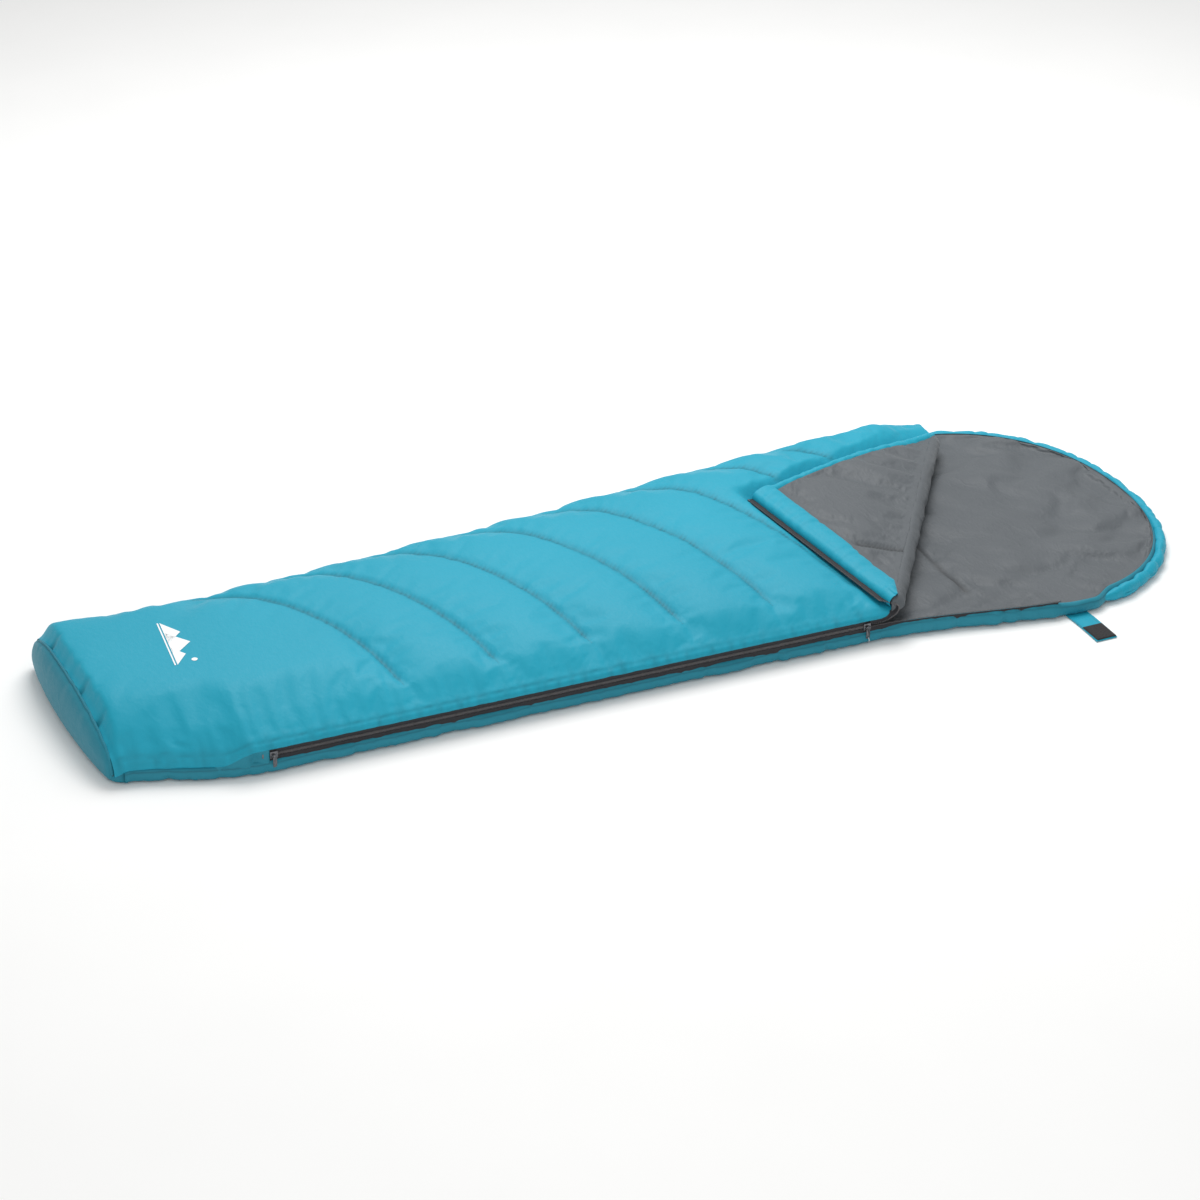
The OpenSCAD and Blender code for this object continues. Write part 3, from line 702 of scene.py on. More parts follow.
quilt_lining = finish_piece("top_quilt_lining", mapped_grid(150, 50, lining_point), lining_cloth,
                            "bag", thickness=0.0006)
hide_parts("top_lining")
print("top quilt lining:", len(quilt_lining.data.polygons), "faces")

# %% [markdown]
# ## The fold
# Where the corner turns back, the lining rolls round the fold line like a bolster. It belongs half
# to the quilt and half to the corner.

# %% The rolled fold
UP = Vector((0, 0, 1))

def fold_roll_point(u, v):
    s = mix(0.0, FOLD_L, u)
    share = u * HEM_SHARE
    end = column_end(share)
    down = FOLD_H - quilt_under(end.x, end.y, share)
    ends = math.sqrt(max(0.0, 1 - max(0.0, 1 - s / 0.03) ** 2)) * math.sqrt(
        max(0.0, 1 - max(0.0, 1 - (FOLD_L - s) / 0.03) ** 2))
    a = mix(-math.pi / 2, math.pi / 2, v)
    radius = down if a < 0 else FLAP_Z + FLAP_T
    swell = 1 + 0.10 * ripple(s * 22, a * 1.3, 6) + 0.07 * ripple(s * 60, a, 9)
    out = 0.021 * ends * math.cos(a) ** 0.7 * swell * (1 if a < 0 else mix(1.0, 0.8, math.sin(a)))
    rise = mix(0.5, 1.0, ends) * radius * math.sin(a)
    return pressed(fold_near + fold_dir * s - fold_side * out + UP * rise)

fold_roll = finish_piece("fold_roll", mapped_grid(180, 26, fold_roll_point), lining_cloth,
                         thickness=0.0006)
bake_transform(fold_roll)
print("fold roll:", len(fold_roll.data.polygons), "faces")

# %% [markdown]
# ## The turned corner
# The corner is a triangular pad. Its face fabric is underneath, its lining is on top, and both thin
# out to the sewn edges. A flat triangle subdivided with grid fill gives an even mesh for both.

# %% The two sheets of the turned corner
FLAP_MID = FLAP_Z + FLAP_T / 2
DART_START, DART_L = 0.21, 0.085

def pad_share(q):
    """Thickness of the pad from 0 at its sewn edges to 1."""
    e = min(side_distance(q, CORNER_A, ZIP_SIDE), side_distance(q, CORNER_B, HEM_SIDE))
    return math.sqrt(max(0.0, 1 - (1 - min(1.0, max(0.0, e / 0.02))) ** 2))

def lining_dart(q):
    """Distance to the seam that crosses the corner's lining from the fold."""
    b = min(DART_L, max(0.0, q.y))
    return math.hypot(q.x - (DART_START - 0.18 * b), q.y - b)

def corner_cloth_point(a, b, h):
    return pressed(flap_point(a, b, h))

def corner_sheet(rule, cuts=88):
    bm = bmesh.new()
    bm.faces.new([bm.verts.new((c.x, c.y, 0)) for c in (CORNER_A, CORNER_B, CORNER_T)])
    bmesh.ops.subdivide_edges(bm, edges=bm.edges[:], cuts=cuts, use_grid_fill=True)
    for v in bm.verts:
        v.co = rule(Vector((v.co.x, v.co.y)))
    return bm

def corner_lining_point(q):
    share = pad_share(q)
    dart = lining_dart(q)
    fold_share = smooth(q.y / 0.05)
    h = FLAP_MID + (FLAP_T / 2) * share
    h += share * fold_share * 0.0035 * ripple(q.x * 11 + q.y * 9, q.y * 6 - q.x * 14, 2)
    h += share * 0.0025 * ripple(q.x * 32, q.y * 10, 7) * math.exp(-q.y / 0.05)
    h -= share * 0.006 * band(dart, 0.009)
    return corner_cloth_point(q.x, q.y, h)

def corner_face_point(q):
    return corner_cloth_point(q.x, q.y, FLAP_MID - (FLAP_T / 2) * pad_share(q) + 0.0002)

def in_corner(p):
    """Place along the fold and over the quilt of a point in space."""
    d = p - fold_near
    return Vector((d.dot(fold_dir), d.dot(fold_side) / math.cos(TILT)))

bm = corner_sheet(corner_lining_point)
held = {}
for v in bm.verts:
    q = in_corner(v.co)
    beside_zip = side_distance(q, CORNER_A, ZIP_SIDE) < 0.062
    if pad_share(q) < 0.98 or beside_zip or q.y < 0.012 or lining_dart(q) < 0.007:
        held[v.index] = 1.0
corner_lining = finish_piece("corner_lining", bm, lining_cloth, "flap", levels=1)
settle(corner_lining, held, pressure=0.5, spare=0.022, limit=0.006, bending=1.0)
# Painted shade along the seam that crosses the corner's lining.
paint_seam_shade(corner_lining, lambda p: band(lining_dart(in_corner(p)), 0.005))
corner_face = finish_piece("corner_face", corner_sheet(corner_face_point, 60), face_cloth, "flap",
                           levels=1)
corner_face.data.flip_normals()
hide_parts("flap_lining")
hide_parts("flap_outer_shell", "flap_filling")
print("corner sheets:", len(corner_lining.data.polygons), "and", len(corner_face.data.polygons), "faces")

# %% [markdown]
# Beside the zip, the corner carries a soft tube of face fabric that keeps the draught out, and its
# head edge is bound with a gathered strip. Both follow a side of the triangle.

# %% Draft tube, binding and zip on the turned corner
zip_dir = ZIP_SIDE.normalized()
zip_in = Vector((zip_dir.y, -zip_dir.x))
hem_dir = -HEM_SIDE.normalized()
ZIP_L, HEM_L = ZIP_SIDE.length, HEM_SIDE.length

def zip_side(s, w, h):
    """A point s along the corner's zip side, w inside it and h off the corner's plane."""
    q = zip_dir * s + zip_in * w
    return flap_point(q.x, q.y, h)

TUBE_W = 0.050
def corner_tube_point(u, v):
    s0 = mix(0.004, ZIP_L + 0.001, u)
    width = min(TUBE_W, 0.012 + s0 * 0.62)
    if v < 0.3:
        a = mix(math.radians(-62), math.pi / 2, v / 0.3)
        w, h = 0.010 - 0.013 * math.cos(a), FLAP_MID + 0.0125 * math.sin(a)
        top = math.sin(a)
    else:
        t = (v - 0.3) / 0.7
        w = mix(0.010, width, t)
        h = FLAP_Z + FLAP_T + 0.0045 * math.sin(math.pi * t) ** 0.7 - 0.001 * t + 0.0015 * (1 - t)
        top = 1.0
    gather = ripple(s0 * 48, w * 12, 4) + 0.5 * ripple(s0 * 95, w * 20, 5)
    h += 0.0021 * gather * (0.5 + 0.5 * top)
    s = s0 + max(0.0, w) * 0.216 * u
    return pressed(zip_side(s, w - 0.001 * gather, h))

corner_tube = finish_piece("corner_draft_tube", mapped_grid(150, 34, corner_tube_point), face_cloth,
                           "flap", thickness=0.0006, levels=1)
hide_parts("flap_draft_tube")

def hem_line(u):
    q = CORNER_T + hem_dir * HEM_L * u
    inward = Vector((hem_dir.y, -hem_dir.x))
    inward = inward if side_distance(q + inward, CORNER_B, HEM_SIDE) > 0 else -inward
    q = q + inward * 0.006
    return pressed(flap_point(q.x, q.y, FLAP_MID))

hem_out = Vector((HEM_SIDE.y, -HEM_SIDE.x)).normalized()
hem_side_dir = fold_dir * hem_out.x + fold_side * hem_out.y

def hem_gather(u, a):
    return 1 + 0.20 * ripple(u * 26, math.cos(a), 3) + 0.12 * ripple(u * 60, math.sin(a), 8)

def binding_half(u, a):
    return 0.011 * hem_gather(u, a) * (0.5 + 0.5 * off_ends(u, 0.04))

def binding_height(u, a):
    tall = mix(0.0145, 0.0110, smooth(u * 1.6 - 0.4))
    return tall * hem_gather(u, a) * (0.5 + 0.5 * off_ends(u, 0.04))

bm = sleeve(150, 16, hem_line, lambda u: hem_side_dir, UP, binding_half, binding_height)
binding = finish_piece("corner_head_binding", bm, face_cloth, "flap", levels=1)
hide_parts("flap_head_binding")
print("corner trim done; draft tube", TUBE_W, "m wide")

# %% [markdown]
# ## The base quilt and the hood
# The base is a tray of darker teal cloth with a soft rounded side, and the grey lining is sewn inside
# its rim; the darker teal is partly painted shade. Both run on into the hood, which can be folded up.

# %% Outline inside the hood's casing
CASING_W = 0.022
INNER_L, INNER_W = HOOD_L - CASING_W, SHOULDER_W / 2 - CASING_W
HINGE_TURN = math.acos(((HINGE_X - HOOD_X) / INNER_L) ** (ROUND / 2))

def inner_w(x):
    t = min(1.0, max(0.0, (x - HOOD_X) / INNER_L))
    return INNER_W * (1 - t ** ROUND) ** (1 / ROUND)

def base_near(x):
    return mix(near_w(x), inner_w(x), smooth((x - 0.775) / 0.055)) if x < HINGE_X else inner_w(x)

def base_far(x):
    return mix(far_w(x), inner_w(x), smooth((x - 0.775) / 0.055)) if x < HINGE_X else inner_w(x)

STRAIGHT_SHARE = 0.78
def base_x(u, start):
    """Rows are evenly spaced along the bag, and follow the curve of the hood at its end."""
    if u < STRAIGHT_SHARE:
        return mix(start, HINGE_X, u / STRAIGHT_SHARE)
    turn = mix(HINGE_TURN, 0.0, (u - STRAIGHT_SHARE) / (1 - STRAIGHT_SHARE))
    return HOOD_X + INNER_L * math.cos(turn) ** (2 / ROUND)

def blend_to_hood(piece):
    HINGE_X - 0.03
    HINGE_X + 0.03
    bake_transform(piece)

print("hood lining", round(INNER_L, 3), "m long")

# %% The base tray
BAND_R = BOTTOM_T / 2

def open_rise(x):
    """Where the zip is open, the edge of the base stands up along the tape."""
    return 0.0045 * smooth((x - 0.36) / 0.05) * smooth((0.73 - x) / 0.05)

def round_side(v):
    """How far round the tray's side a corner of the grid is, for the puckers to vary over."""
    return min(v, 1 - v) * 8

def base_point(u, v):
    x = base_x(u, QUILT_X - 0.002)
    near, far = base_near(x), base_far(x)
    free = smooth((HINGE_X - 0.03 - x) / 0.05)
    pucker = ripple(x * 34, 0, 11) + 0.8 * ripple(x * 70, 0, 12) + 0.5 * ripple(x * 130, round_side(v), 14)
    sag = 0.006 * ripple(x * 11, 0, 13)
    if 0.3 < v < 0.7:
        t = (v - 0.3) / 0.4
        return Vector((x, mix(BAND_R - near, far - BAND_R, t), 0.0006))
    side, t = (-1, v / 0.3) if v < 0.5 else (1, (1 - v) / 0.3)
    a = mix(math.radians(85), -math.pi / 2, t)
    width = near if side < 0 else far
    swell = min(1.0, width / 0.05)
    out = -0.0045 + 0.0105 * math.cos(a) * (1 + 0.5 * pucker * free) + (sag * math.cos(a) * free)
    if t > 0.72:
        out = mix(out, -BAND_R, (t - 0.72) / 0.28)
    z = BAND_R * (1 + math.sin(a)) + 0.0006
    z += open_rise(x) * max(0.0, math.sin(a)) if side < 0 else 0.0
    z += 0.0016 * pucker * free * math.cos(a) * math.sin(a)
    z = max(0.0006, z)
    return Vector((x, side * (width + out * swell), z))

base_shell = finish_piece("base_shell", mapped_grid(300, 60, base_point), base_cloth_with_shade,
                          thickness=0.0006)
# Painted shade along a seam line on the base's rounded side.
paint_seam_shade(base_shell, lambda p: 0.5 * band(p.z - open_rise(p.x) - 0.0205, 0.0012))
blend_to_hood(base_shell)
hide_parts("bottom_outer_shell", "bottom_filling", "hood_outer_shell", "hood_filling")
print("base shell:", len(base_shell.data.polygons), "faces")

# %% The base lining
LINING_SEAM_X = 0.577

def lining_seam(x, y, width):
    """1 on the short seam across the lining, which wanders a little and fades at its ends."""
    from_line = x - LINING_SEAM_X - 0.015 * ripple(y * 4, 1, 2)
    return band(from_line, width) * smooth((0.05 - y) / 0.04) * smooth((y + 0.27) / 0.03)

def base_lining_point(u, v):
    x = base_x(u, QUILT_X)
    near, far = base_near(x) - 0.0035, base_far(x) - 0.0035
    w = mix(v, 0.5 - 0.5 * math.cos(math.pi * v), 0.5)
    y = mix(-max(near, 0.0), max(far, 0.0), w)
    inner = off_ends(w, 0.06) * smooth((TIP_X - x) / 0.05)
    z = 0.0248 - 0.0028 * inner
    calm = 1 - smooth((x - 0.68) / 0.03) * smooth((0.80 - x) / 0.03) * smooth((-0.24 - y) / 0.04)
    z += calm * inner * 0.0062 * ripple(x * 9 + y * 7, y * 13 - x * 7, 21)
    z += calm * inner * 0.0042 * ripple(x * 22 + y * 18, y * 8 - x * 10, 22)
    z = min(z, 0.0252) if calm < 0.5 else z
    z += open_rise(x) * (1 - smooth(w / 0.04))
    z -= inner * 0.004 * lining_seam(x, y, 0.008)
    z += (1 - off_ends(w, 0.02)) * 0.0008 * ripple(x * 60, 0, 23)
    return Vector((x, y, z))

bm = mapped_grid(250, 84, base_lining_point)
bmesh.ops.remove_doubles(bm, verts=bm.verts, dist=0.0002)
bm.verts.index_update()
held = {}
for v in bm.verts:
    rim = min(v.co.y + base_near(v.co.x), base_far(v.co.x) - v.co.y)
    by_tab = 0.69 < v.co.x < 0.79 and v.co.y < -0.25
    by_tip = v.co.x > TIP_X - 0.035
    on_seam = abs(v.co.x - LINING_SEAM_X) < 0.005 and v.co.y < 0.02
    if rim < 0.010 or by_tab or v.co.x < 0.40 or by_tip or on_seam:
        held[v.index] = 1.0
base_lining = finish_piece("base_lining", bm, lining_cloth, thickness=0.0006)
settle(base_lining, held, pressure=0.15, spare=0.03, limit=0.004, bending=1.0)
# Painted shade along the short seam across the lining.
paint_seam_shade(base_lining, lambda p: 0.9 * lining_seam(p.x, p.y, 0.004))
blend_to_hood(base_lining)
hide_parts("bottom_lining", "hood_lining")
print("base lining:", len(base_lining.data.polygons), "faces")

# %% [markdown]
# The hood's rim is a casing with an elastic inside, which gathers the cloth into small scallops.
# A sleeve swept round the rim, with a section that swells and pinches along it, gives that.

# %% The gathered casing
RIM_TURN = math.radians(83)
def rim_point(turn, inset):
    def spot(a):
        c, s = abs(math.cos(a)) ** (2 / ROUND), abs(math.sin(a)) ** (2 / ROUND)
        return Vector((HOOD_X + HOOD_L * c, SHOULDER_W / 2 * s * (1 if a > 0 else -1), 0))
    ahead = (spot(turn + 0.01) - spot(turn - 0.01)).normalized()
    outward = Vector((ahead.y, -ahead.x, 0))
    return spot(turn) - outward * inset, outward

def casing_turn(u):
    return mix(-RIM_TURN, RIM_TURN, u)

def gathers(u, a):
    pleat = abs(math.sin(u * 66 + 2.2 * ripple(u * 13, 0, 31)))
    pinch = band(u - 0.40, 0.006) + band(u - 0.55, 0.006)
    return (0.80 + 0.27 * pleat ** 0.6 + 0.22 * ripple(u * 26, math.cos(a), 32)
            + 0.05 * ripple(u * 160, a, 33) - 0.20 * pinch)

def casing_height(u, a):
    ends = mix(0.45, 1.0, off_ends(u, 0.05))
    tall = mix(0.0125, 0.0105, smooth((u - 0.6) / 0.3))
    return tall * ends * gathers(u, a)

def casing_middle(u):
    spot, outward = rim_point(casing_turn(u), CASING_W / 2)
    wander = 0.002 * ripple(u * 30, 0, 34)
    return spot + outward * wander + UP * (0.0132 + 0.001 * ripple(u * 40, 0, 35))

def casing_side(u):
    return rim_point(casing_turn(u), 0)[1]

def casing_half(u, a):
    return 0.0112 * mix(0.5, 1.0, off_ends(u, 0.05)) * gathers(u, a)

bm = sleeve(420, 22, casing_middle, casing_side, UP, casing_half, casing_height)
for v in bm.verts:
    v.co.z = max(0.0005, v.co.z)
casing = finish_piece("hood_casing_cloth", bm, face_cloth, levels=1)
paint_seam_shade(casing, lambda p: 0.0)
blend_to_hood(casing)
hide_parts("hood_casing")
print("casing:", len(casing.data.polygons), "faces")

# %% [markdown]
# ## The foot panel
# The foot is closed by a lens-shaped panel. It is padded, so it bows outwards, and it is eased into
# the longer edge of the top quilt with small pleats along a piped seam.

# %% The foot panel and its piping
FOOT_NEAR, FOOT_FAR = FOOT_W / 2 - FOOT_SKEW, FOOT_W / 2 + FOOT_SKEW
def foot_top(u):
    y = mix(-FOOT_NEAR, FOOT_FAR, u)
    return quilt_top(FOOT_X, y, u) - 0.0095

CORNER_SHARE, CORNER_R = 0.10, 0.020
def foot_plan(u):
    """Plan of the panel, which turns a round corner at each side: how far back, and y."""
    if u < CORNER_SHARE:
        a = u / CORNER_SHARE * math.pi / 2
        return CORNER_R * (1 - math.sin(a)), -FOOT_NEAR + CORNER_R * (1 - math.cos(a))
    if u > 1 - CORNER_SHARE:
        a = (1 - u) / CORNER_SHARE * math.pi / 2
        return CORNER_R * (1 - math.sin(a)), FOOT_FAR - CORNER_R * (1 - math.cos(a))
    t = (u - CORNER_SHARE) / (1 - 2 * CORNER_SHARE)
    return 0.0, mix(-FOOT_NEAR + CORNER_R, FOOT_FAR - CORNER_R, t)

def foot_point(u, v):
    back, y = foot_plan(u)
    u = (y + FOOT_NEAR) / (FOOT_NEAR + FOOT_FAR)
    top = foot_top(u)
    pleat = ripple(y * 46, 0, 41)
    if v < 0.15:
        sole = FOOT_X + 0.010 + back - 0.016 * (4 * u * (1 - u)) ** 0.7
        return Vector((mix(QUILT_X + 0.004, sole, v / 0.15), y, 0.0007 + 0.003 * v / 0.15))
    t = (v - 0.15) / 0.85
    bow = (4 * t * (1 - t)) ** 0.5 * (4 * u * (1 - u)) ** 0.35 if 0 < t < 1 and 0 < u < 1 else 0.0
    belly = 0.016 * (4 * u * (1 - u)) ** 0.7 * (1 - t)
    x = FOOT_X + back + 0.010 * (1 - t) + 0.005 * t - belly - 0.018 * bow
    x -= 0.0022 * pleat * t ** 4
    x -= 0.002 * ripple(y * 12, t * 2, 42) * bow
    return Vector((x, y, mix(0.0037, top, t)))

# The foot panel takes the base's darker teal, which paints in part of the shade the foot stands in.
foot_panel = finish_piece("foot_panel", mapped_grid(130, 34, foot_point), base_cloth_with_shade, "bag",
                          thickness=0.0008, levels=1)
paint_seam_shade(foot_panel, lambda p: 0.0)
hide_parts("foot_outer_panel", "foot_filling")

def foot_lining_point(u, v):
    y = mix(0.004 - FOOT_NEAR, FOOT_FAR - 0.004, u)
    x = FOOT_X + 0.022 + 0.003 * ripple(y * 9, v * 2, 43)
    return Vector((x, y, mix(0.026, max(0.0262, foot_top(u) - 0.004), v)))

foot_lining = finish_piece("foot_panel_lining", mapped_grid(60, 14, foot_lining_point), lining_cloth,
                           "bag", thickness=0.0006)
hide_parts("foot_lining")

def piping_line(u):
    y = mix(-FOOT_NEAR + 0.002, FOOT_FAR - 0.002, u)
    return Vector((FOOT_X + 0.0045 + 0.0012 * ripple(y * 46, 0, 41), y, foot_top(u) + 0.0015))

def piping_half(u, a):
    return 0.0024 * (1 + 0.25 * ripple(u * 60, a, 44))

bm = sleeve(120, 10, piping_line, lambda u: Vector((1, 0, 0)), UP, piping_half, piping_half)
piping = finish_piece("foot_piping", bm, base_cloth_with_shade, "bag")
print("foot panel:", len(foot_panel.data.polygons), "faces")

# %% The gusset where the zip begins
def gusset_point(u, v):
    x = mix(ZIP_X - 0.085, ZIP_X + 0.008, u)
    fold = band(u - 0.72, 0.10) * math.sin(math.pi * v)
    out = 0.0028 - 0.007 * fold + 0.0015 * ripple(x * 70, v, 45)
    return Vector((x, -near_w(x) - out, mix(0.019, edge_under(x, 0) + 0.004, v)))

gusset = finish_piece("zip_end_gusset", mapped_grid(40, 12, gusset_point), base_cloth_with_shade, "bag",
                      thickness=0.0008)
print("gusset closes the edge beside the zip's end")

# %% [markdown]
# ## The zip
# A coil zip is a row of nylon loops on each tape. One small rounded tooth is repeated along the
# edge, a little crosswise, and on the closed run the two rows mesh.

# %% Teeth and the way the zip runs
TOOTH_PITCH = 0.0026
def teeth(name, places, length, body=None):
    """A row of teeth: each place is a point, the way along the zip and the way across the tooth."""
    bm = bmesh.new()
    for spot, along, over in places:
        third = along.cross(over).normalized()
        frame_of = Matrix((along, over, third)).transposed().to_4x4()
        size = Matrix.Diagonal((0.00085, length / 2, 0.0015, 1))
        bmesh.ops.create_uvsphere(bm, u_segments=6, v_segments=4, radius=1,
                                  matrix=Matrix.Translation(spot) @ frame_of @ size)
    return finish_piece(name, bm, coil_finish, body)

zip_start = Vector((ZIP_X, -ZIP_W_FOOT, 0))
zip_along = Vector((SLIDER_X - ZIP_X, ZIP_W_FOOT - ZIP_W_HEAD, 0)).normalized()
zip_out = Vector((zip_along.y, -zip_along.x, 0))
ZIP_RUN = math.hypot(SLIDER_X - ZIP_X, ZIP_W_FOOT - ZIP_W_HEAD)

CLOSED_COUNT = int(ZIP_RUN / TOOTH_PITCH)
def closed_row(name, z, phase):
    """The straight run is one tooth and an Array modifier."""
    first = zip_start + zip_along * TOOTH_PITCH * phase + zip_out * 0.0004 + UP * z
    row = teeth(name, [(first, zip_along, UP)], 0.0056, "bag")
    copies = row.modifiers.new("row", "ARRAY")
    copies.count, copies.use_relative_offset, copies.use_constant_offset = CLOSED_COUNT, False, True
    copies.constant_offset_displace = zip_along * TOOTH_PITCH
    return row

lower_teeth = closed_row("closed_teeth_lower", ZIP_H - 0.0013, 0.25)
upper_teeth = closed_row("closed_teeth_upper", ZIP_H + 0.0013, 0.75)
TAPE_STOP_X = HOOD_X - 0.050

def open_row():
    rows = []
    x = SLIDER_X + TOOTH_PITCH
    while x < TAPE_STOP_X:
        along = Vector((0.01, near_w(x - 0.005) - near_w(x + 0.005), 0)).normalized()
        rows.append((Vector((x, -near_w(x) - 0.0004, ZIP_H - 0.0024)), along, UP))
        x += TOOTH_PITCH
    return rows

teeth("open_teeth_lower", open_row(), 0.0036, "bag")
flap_rows = []
for i in range(int((ZIP_L - 0.026) / TOOTH_PITCH)):
    s = 0.020 + TOOTH_PITCH * (i + 0.5)
    along = (zip_side(s + 0.01, 0, 0) - zip_side(s - 0.01, 0, 0)).normalized()
    over = (zip_side(s, -0.01, 0) - zip_side(s, 0, 0)).normalized()
    flap_rows.append((zip_side(s, -0.0136, FLAP_Z + 0.0094), along, over))
flap_teeth = teeth("corner_teeth", flap_rows, 0.0036, "flap")
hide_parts("zip_coil_lower")
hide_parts("zip_coil_upper")
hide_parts("flap_zip_coil")
print("teeth:", CLOSED_COUNT, "pairs closed,", len(open_row()), "open,", len(flap_rows), "on the corner")

# %% [markdown]
# Between the slider and the turned corner, the upper tape rolls over with the fold. Its middle is a
# Bezier curve, and it turns as it goes, so that its teeth stay on the outside of the fold.

# %% The tape that rolls over the fold
ROLL_FROM = Vector((SLIDER_X + 0.006, -near_w(SLIDER_X) - 0.0005, ZIP_H + 0.0101))
ROLL_TO = zip_side(0.022, -0.006, FLAP_Z + 0.0094)
ROLL_PULLS = (ROLL_FROM + Vector((0.062, -0.004, 0.0)), ROLL_TO + Vector((0.028, -0.030, 0.004)))
roll_turns = (Vector((0, 0, -1)), Vector((-0.1, -0.9, -0.5)), Vector((0.35, -0.9, 0.05)),
              zip_side(0, -1, 0) - zip_side(0, 0, 0))

def roll_middle(t):
    a, b, c, d = ROLL_FROM, ROLL_PULLS[0], ROLL_PULLS[1], ROLL_TO
    return a * (1 - t) ** 3 + b * 3 * t * (1 - t) ** 2 + c * 3 * t * t * (1 - t) + d * t ** 3

def roll_out(t):
    step = min(2, int(t * 3))
    return (roll_turns[step] * (1 - (t * 3 - step)) + roll_turns[step + 1] * (t * 3 - step)).normalized()

def roll_point(u, v):
    return roll_middle(u) + roll_out(u) * mix(-0.006, 0.006, v)

roll_tape = finish_piece("fold_zip_tape", mapped_grid(60, 6, roll_point), tape_finish,
                         thickness=0.0008)
roll_rows = []
ROLL_TEETH = 44
for i in range(ROLL_TEETH):
    t = (i + 0.5) / ROLL_TEETH
    along = (roll_middle(min(1, t + 0.01)) - roll_middle(max(0, t - 0.01))).normalized()
    roll_rows.append((roll_middle(t) + roll_out(t) * 0.0076, along, roll_out(t)))
roll_teeth = teeth("fold_teeth", roll_rows, 0.0036)
for piece in (roll_tape, roll_teeth):
    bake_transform(piece)
steps = [(roll_middle(i / 60) - roll_middle((i + 1) / 60)).length for i in range(60)]
print("tape over the fold:", round(sum(steps), 3), "m")

# %% [markdown]
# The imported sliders, pulls and stops already have their plates, wedge, posts and pins. A copy with
# merged corners takes a small bevel, which catches the light as plated metal does.

# %% Bevelled metal and patches
def softened(name, finish, width):
    bm = bmesh.new()
    bm.from_mesh(nodes[name].data)
    bmesh.ops.remove_doubles(bm, verts=bm.verts, dist=0.00001)
    bmesh.ops.dissolve_limit(bm, angle_limit=math.radians(2), verts=bm.verts, edges=bm.edges)
    closed = [e for e in bm.edges if len(e.link_faces) == 2]
    sharp = [e for e in closed if e.calc_face_angle_signed() > math.radians(40)]
    bmesh.ops.bevel(bm, geom=sharp, offset=width, segments=2, profile=0.5, affect="EDGES", material=-1)
    piece = finish_piece(name + "_finished", bm, finish, nodes[name]["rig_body"])
    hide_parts(name)
    return piece

for name in ("upper_slider", "lower_slider", "upper_pull_tab", "lower_pull_tab",
             "zip_foot_stop", "zip_head_stop", "flap_zip_stop"):
    softened(name, metal_finish, 0.00025)
softened("flap_loop_patch", hook_finish, 0.0004)
print("metal pieces bevelled")

# %% The draft tube inside the closed zip
def tube_line(u):
    s = mix(0.03, ZIP_RUN - 0.04, u)
    return zip_start + zip_along * s - zip_out * 0.016 + UP * (BOTTOM_T + 0.0093)

def tube_swell(u, a):
    return 0.0088 * (1 + 0.10 * ripple(u * 60, math.cos(a), 51)) * (0.6 + 0.4 * off_ends(u, 0.01))

bm = sleeve(260, 12, tube_line, lambda u: zip_out, UP, tube_swell, tube_swell)
draft_tube = finish_piece("draft_tube_cloth", bm, lining_cloth, "bag")
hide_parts("draft_tube")
print("draft tube", round(ZIP_RUN - 0.07, 3), "m long")

# %% The hem at the closed side of the head end
def hem_place(u):
    return mix(fold_far.y - 0.012, far_w(HEM_X) - 0.004, u)

def hem_middle(u):
    y = hem_place(u)
    v = min(1.0, HEM_SHARE + (1 - HEM_SHARE) * (y - fold_far.y) / HEM_LEFT)
    top, low = quilt_top(HEM_X, y, v), quilt_under(HEM_X, y, v)
    return pressed(Vector((HEM_X + 0.001, y, (top + low) / 2)))

def hem_height(u, a):
    y = hem_place(u)
    v = min(1.0, HEM_SHARE + (1 - HEM_SHARE) * (y - fold_far.y) / HEM_LEFT)
    half = (quilt_top(HEM_X, y, v) - quilt_under(HEM_X, y, v)) / 2
    return (half * 0.8 + 0.0012) * (1 + 0.12 * ripple(y * 60, math.cos(a), 61))

def hem_half(u, a):
    return 0.006 * (1 + 0.2 * ripple(u * 9, math.sin(a), 62))

bm = sleeve(40, 16, hem_middle, lambda u: Vector((1, 0, 0)), UP, hem_half, hem_height)
head_hem = finish_piece("head_hem", bm, face_cloth, "bag", levels=1)
print("head hem", HEM_LEFT, "m long")

# %% [markdown]
# ## The closure tab
# A strip of face fabric is stitched to the hood's edge. Its free end carries a patch of hook tape,
# which sticks to the loop patch on the corner when the bag is closed.

# %% Tab strap and hook patch
TAB_X, TAB_W, TAB_L, HOOK_L = WIDEST_X - 0.064, 0.044, 0.107, 0.052
TAB_ROOT = -near_w(TAB_X + TAB_W) - 0.0003

def tab_point(u, v):
    y = TAB_ROOT + 0.010 - (TAB_L + 0.010) * u
    x = TAB_X + TAB_W * v + 0.0015 * math.sin(u * 3.1)
    hem = max(band(v - 0.06, 0.03), band(v - 0.94, 0.03))
    z = 0.0018 + 0.0005 * hem + 0.0006 * (1 + ripple(u * 5, v * 3, 71))
    return Vector((x, y, z))

strap = finish_piece("tab_strap_cloth", mapped_grid(60, 24, tab_point), face_cloth, "closure_tab",
                     thickness=0.0014)
# Painted shade along the strap's two stitch lines.
paint_seam_shade(strap, lambda p: 0.7 * max(band(p.x - TAB_X - 0.0035, 0.0008),
                                      band(p.x - TAB_X - TAB_W + 0.0035, 0.0008)))
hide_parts("tab_strap")
TAB_L + 0.010

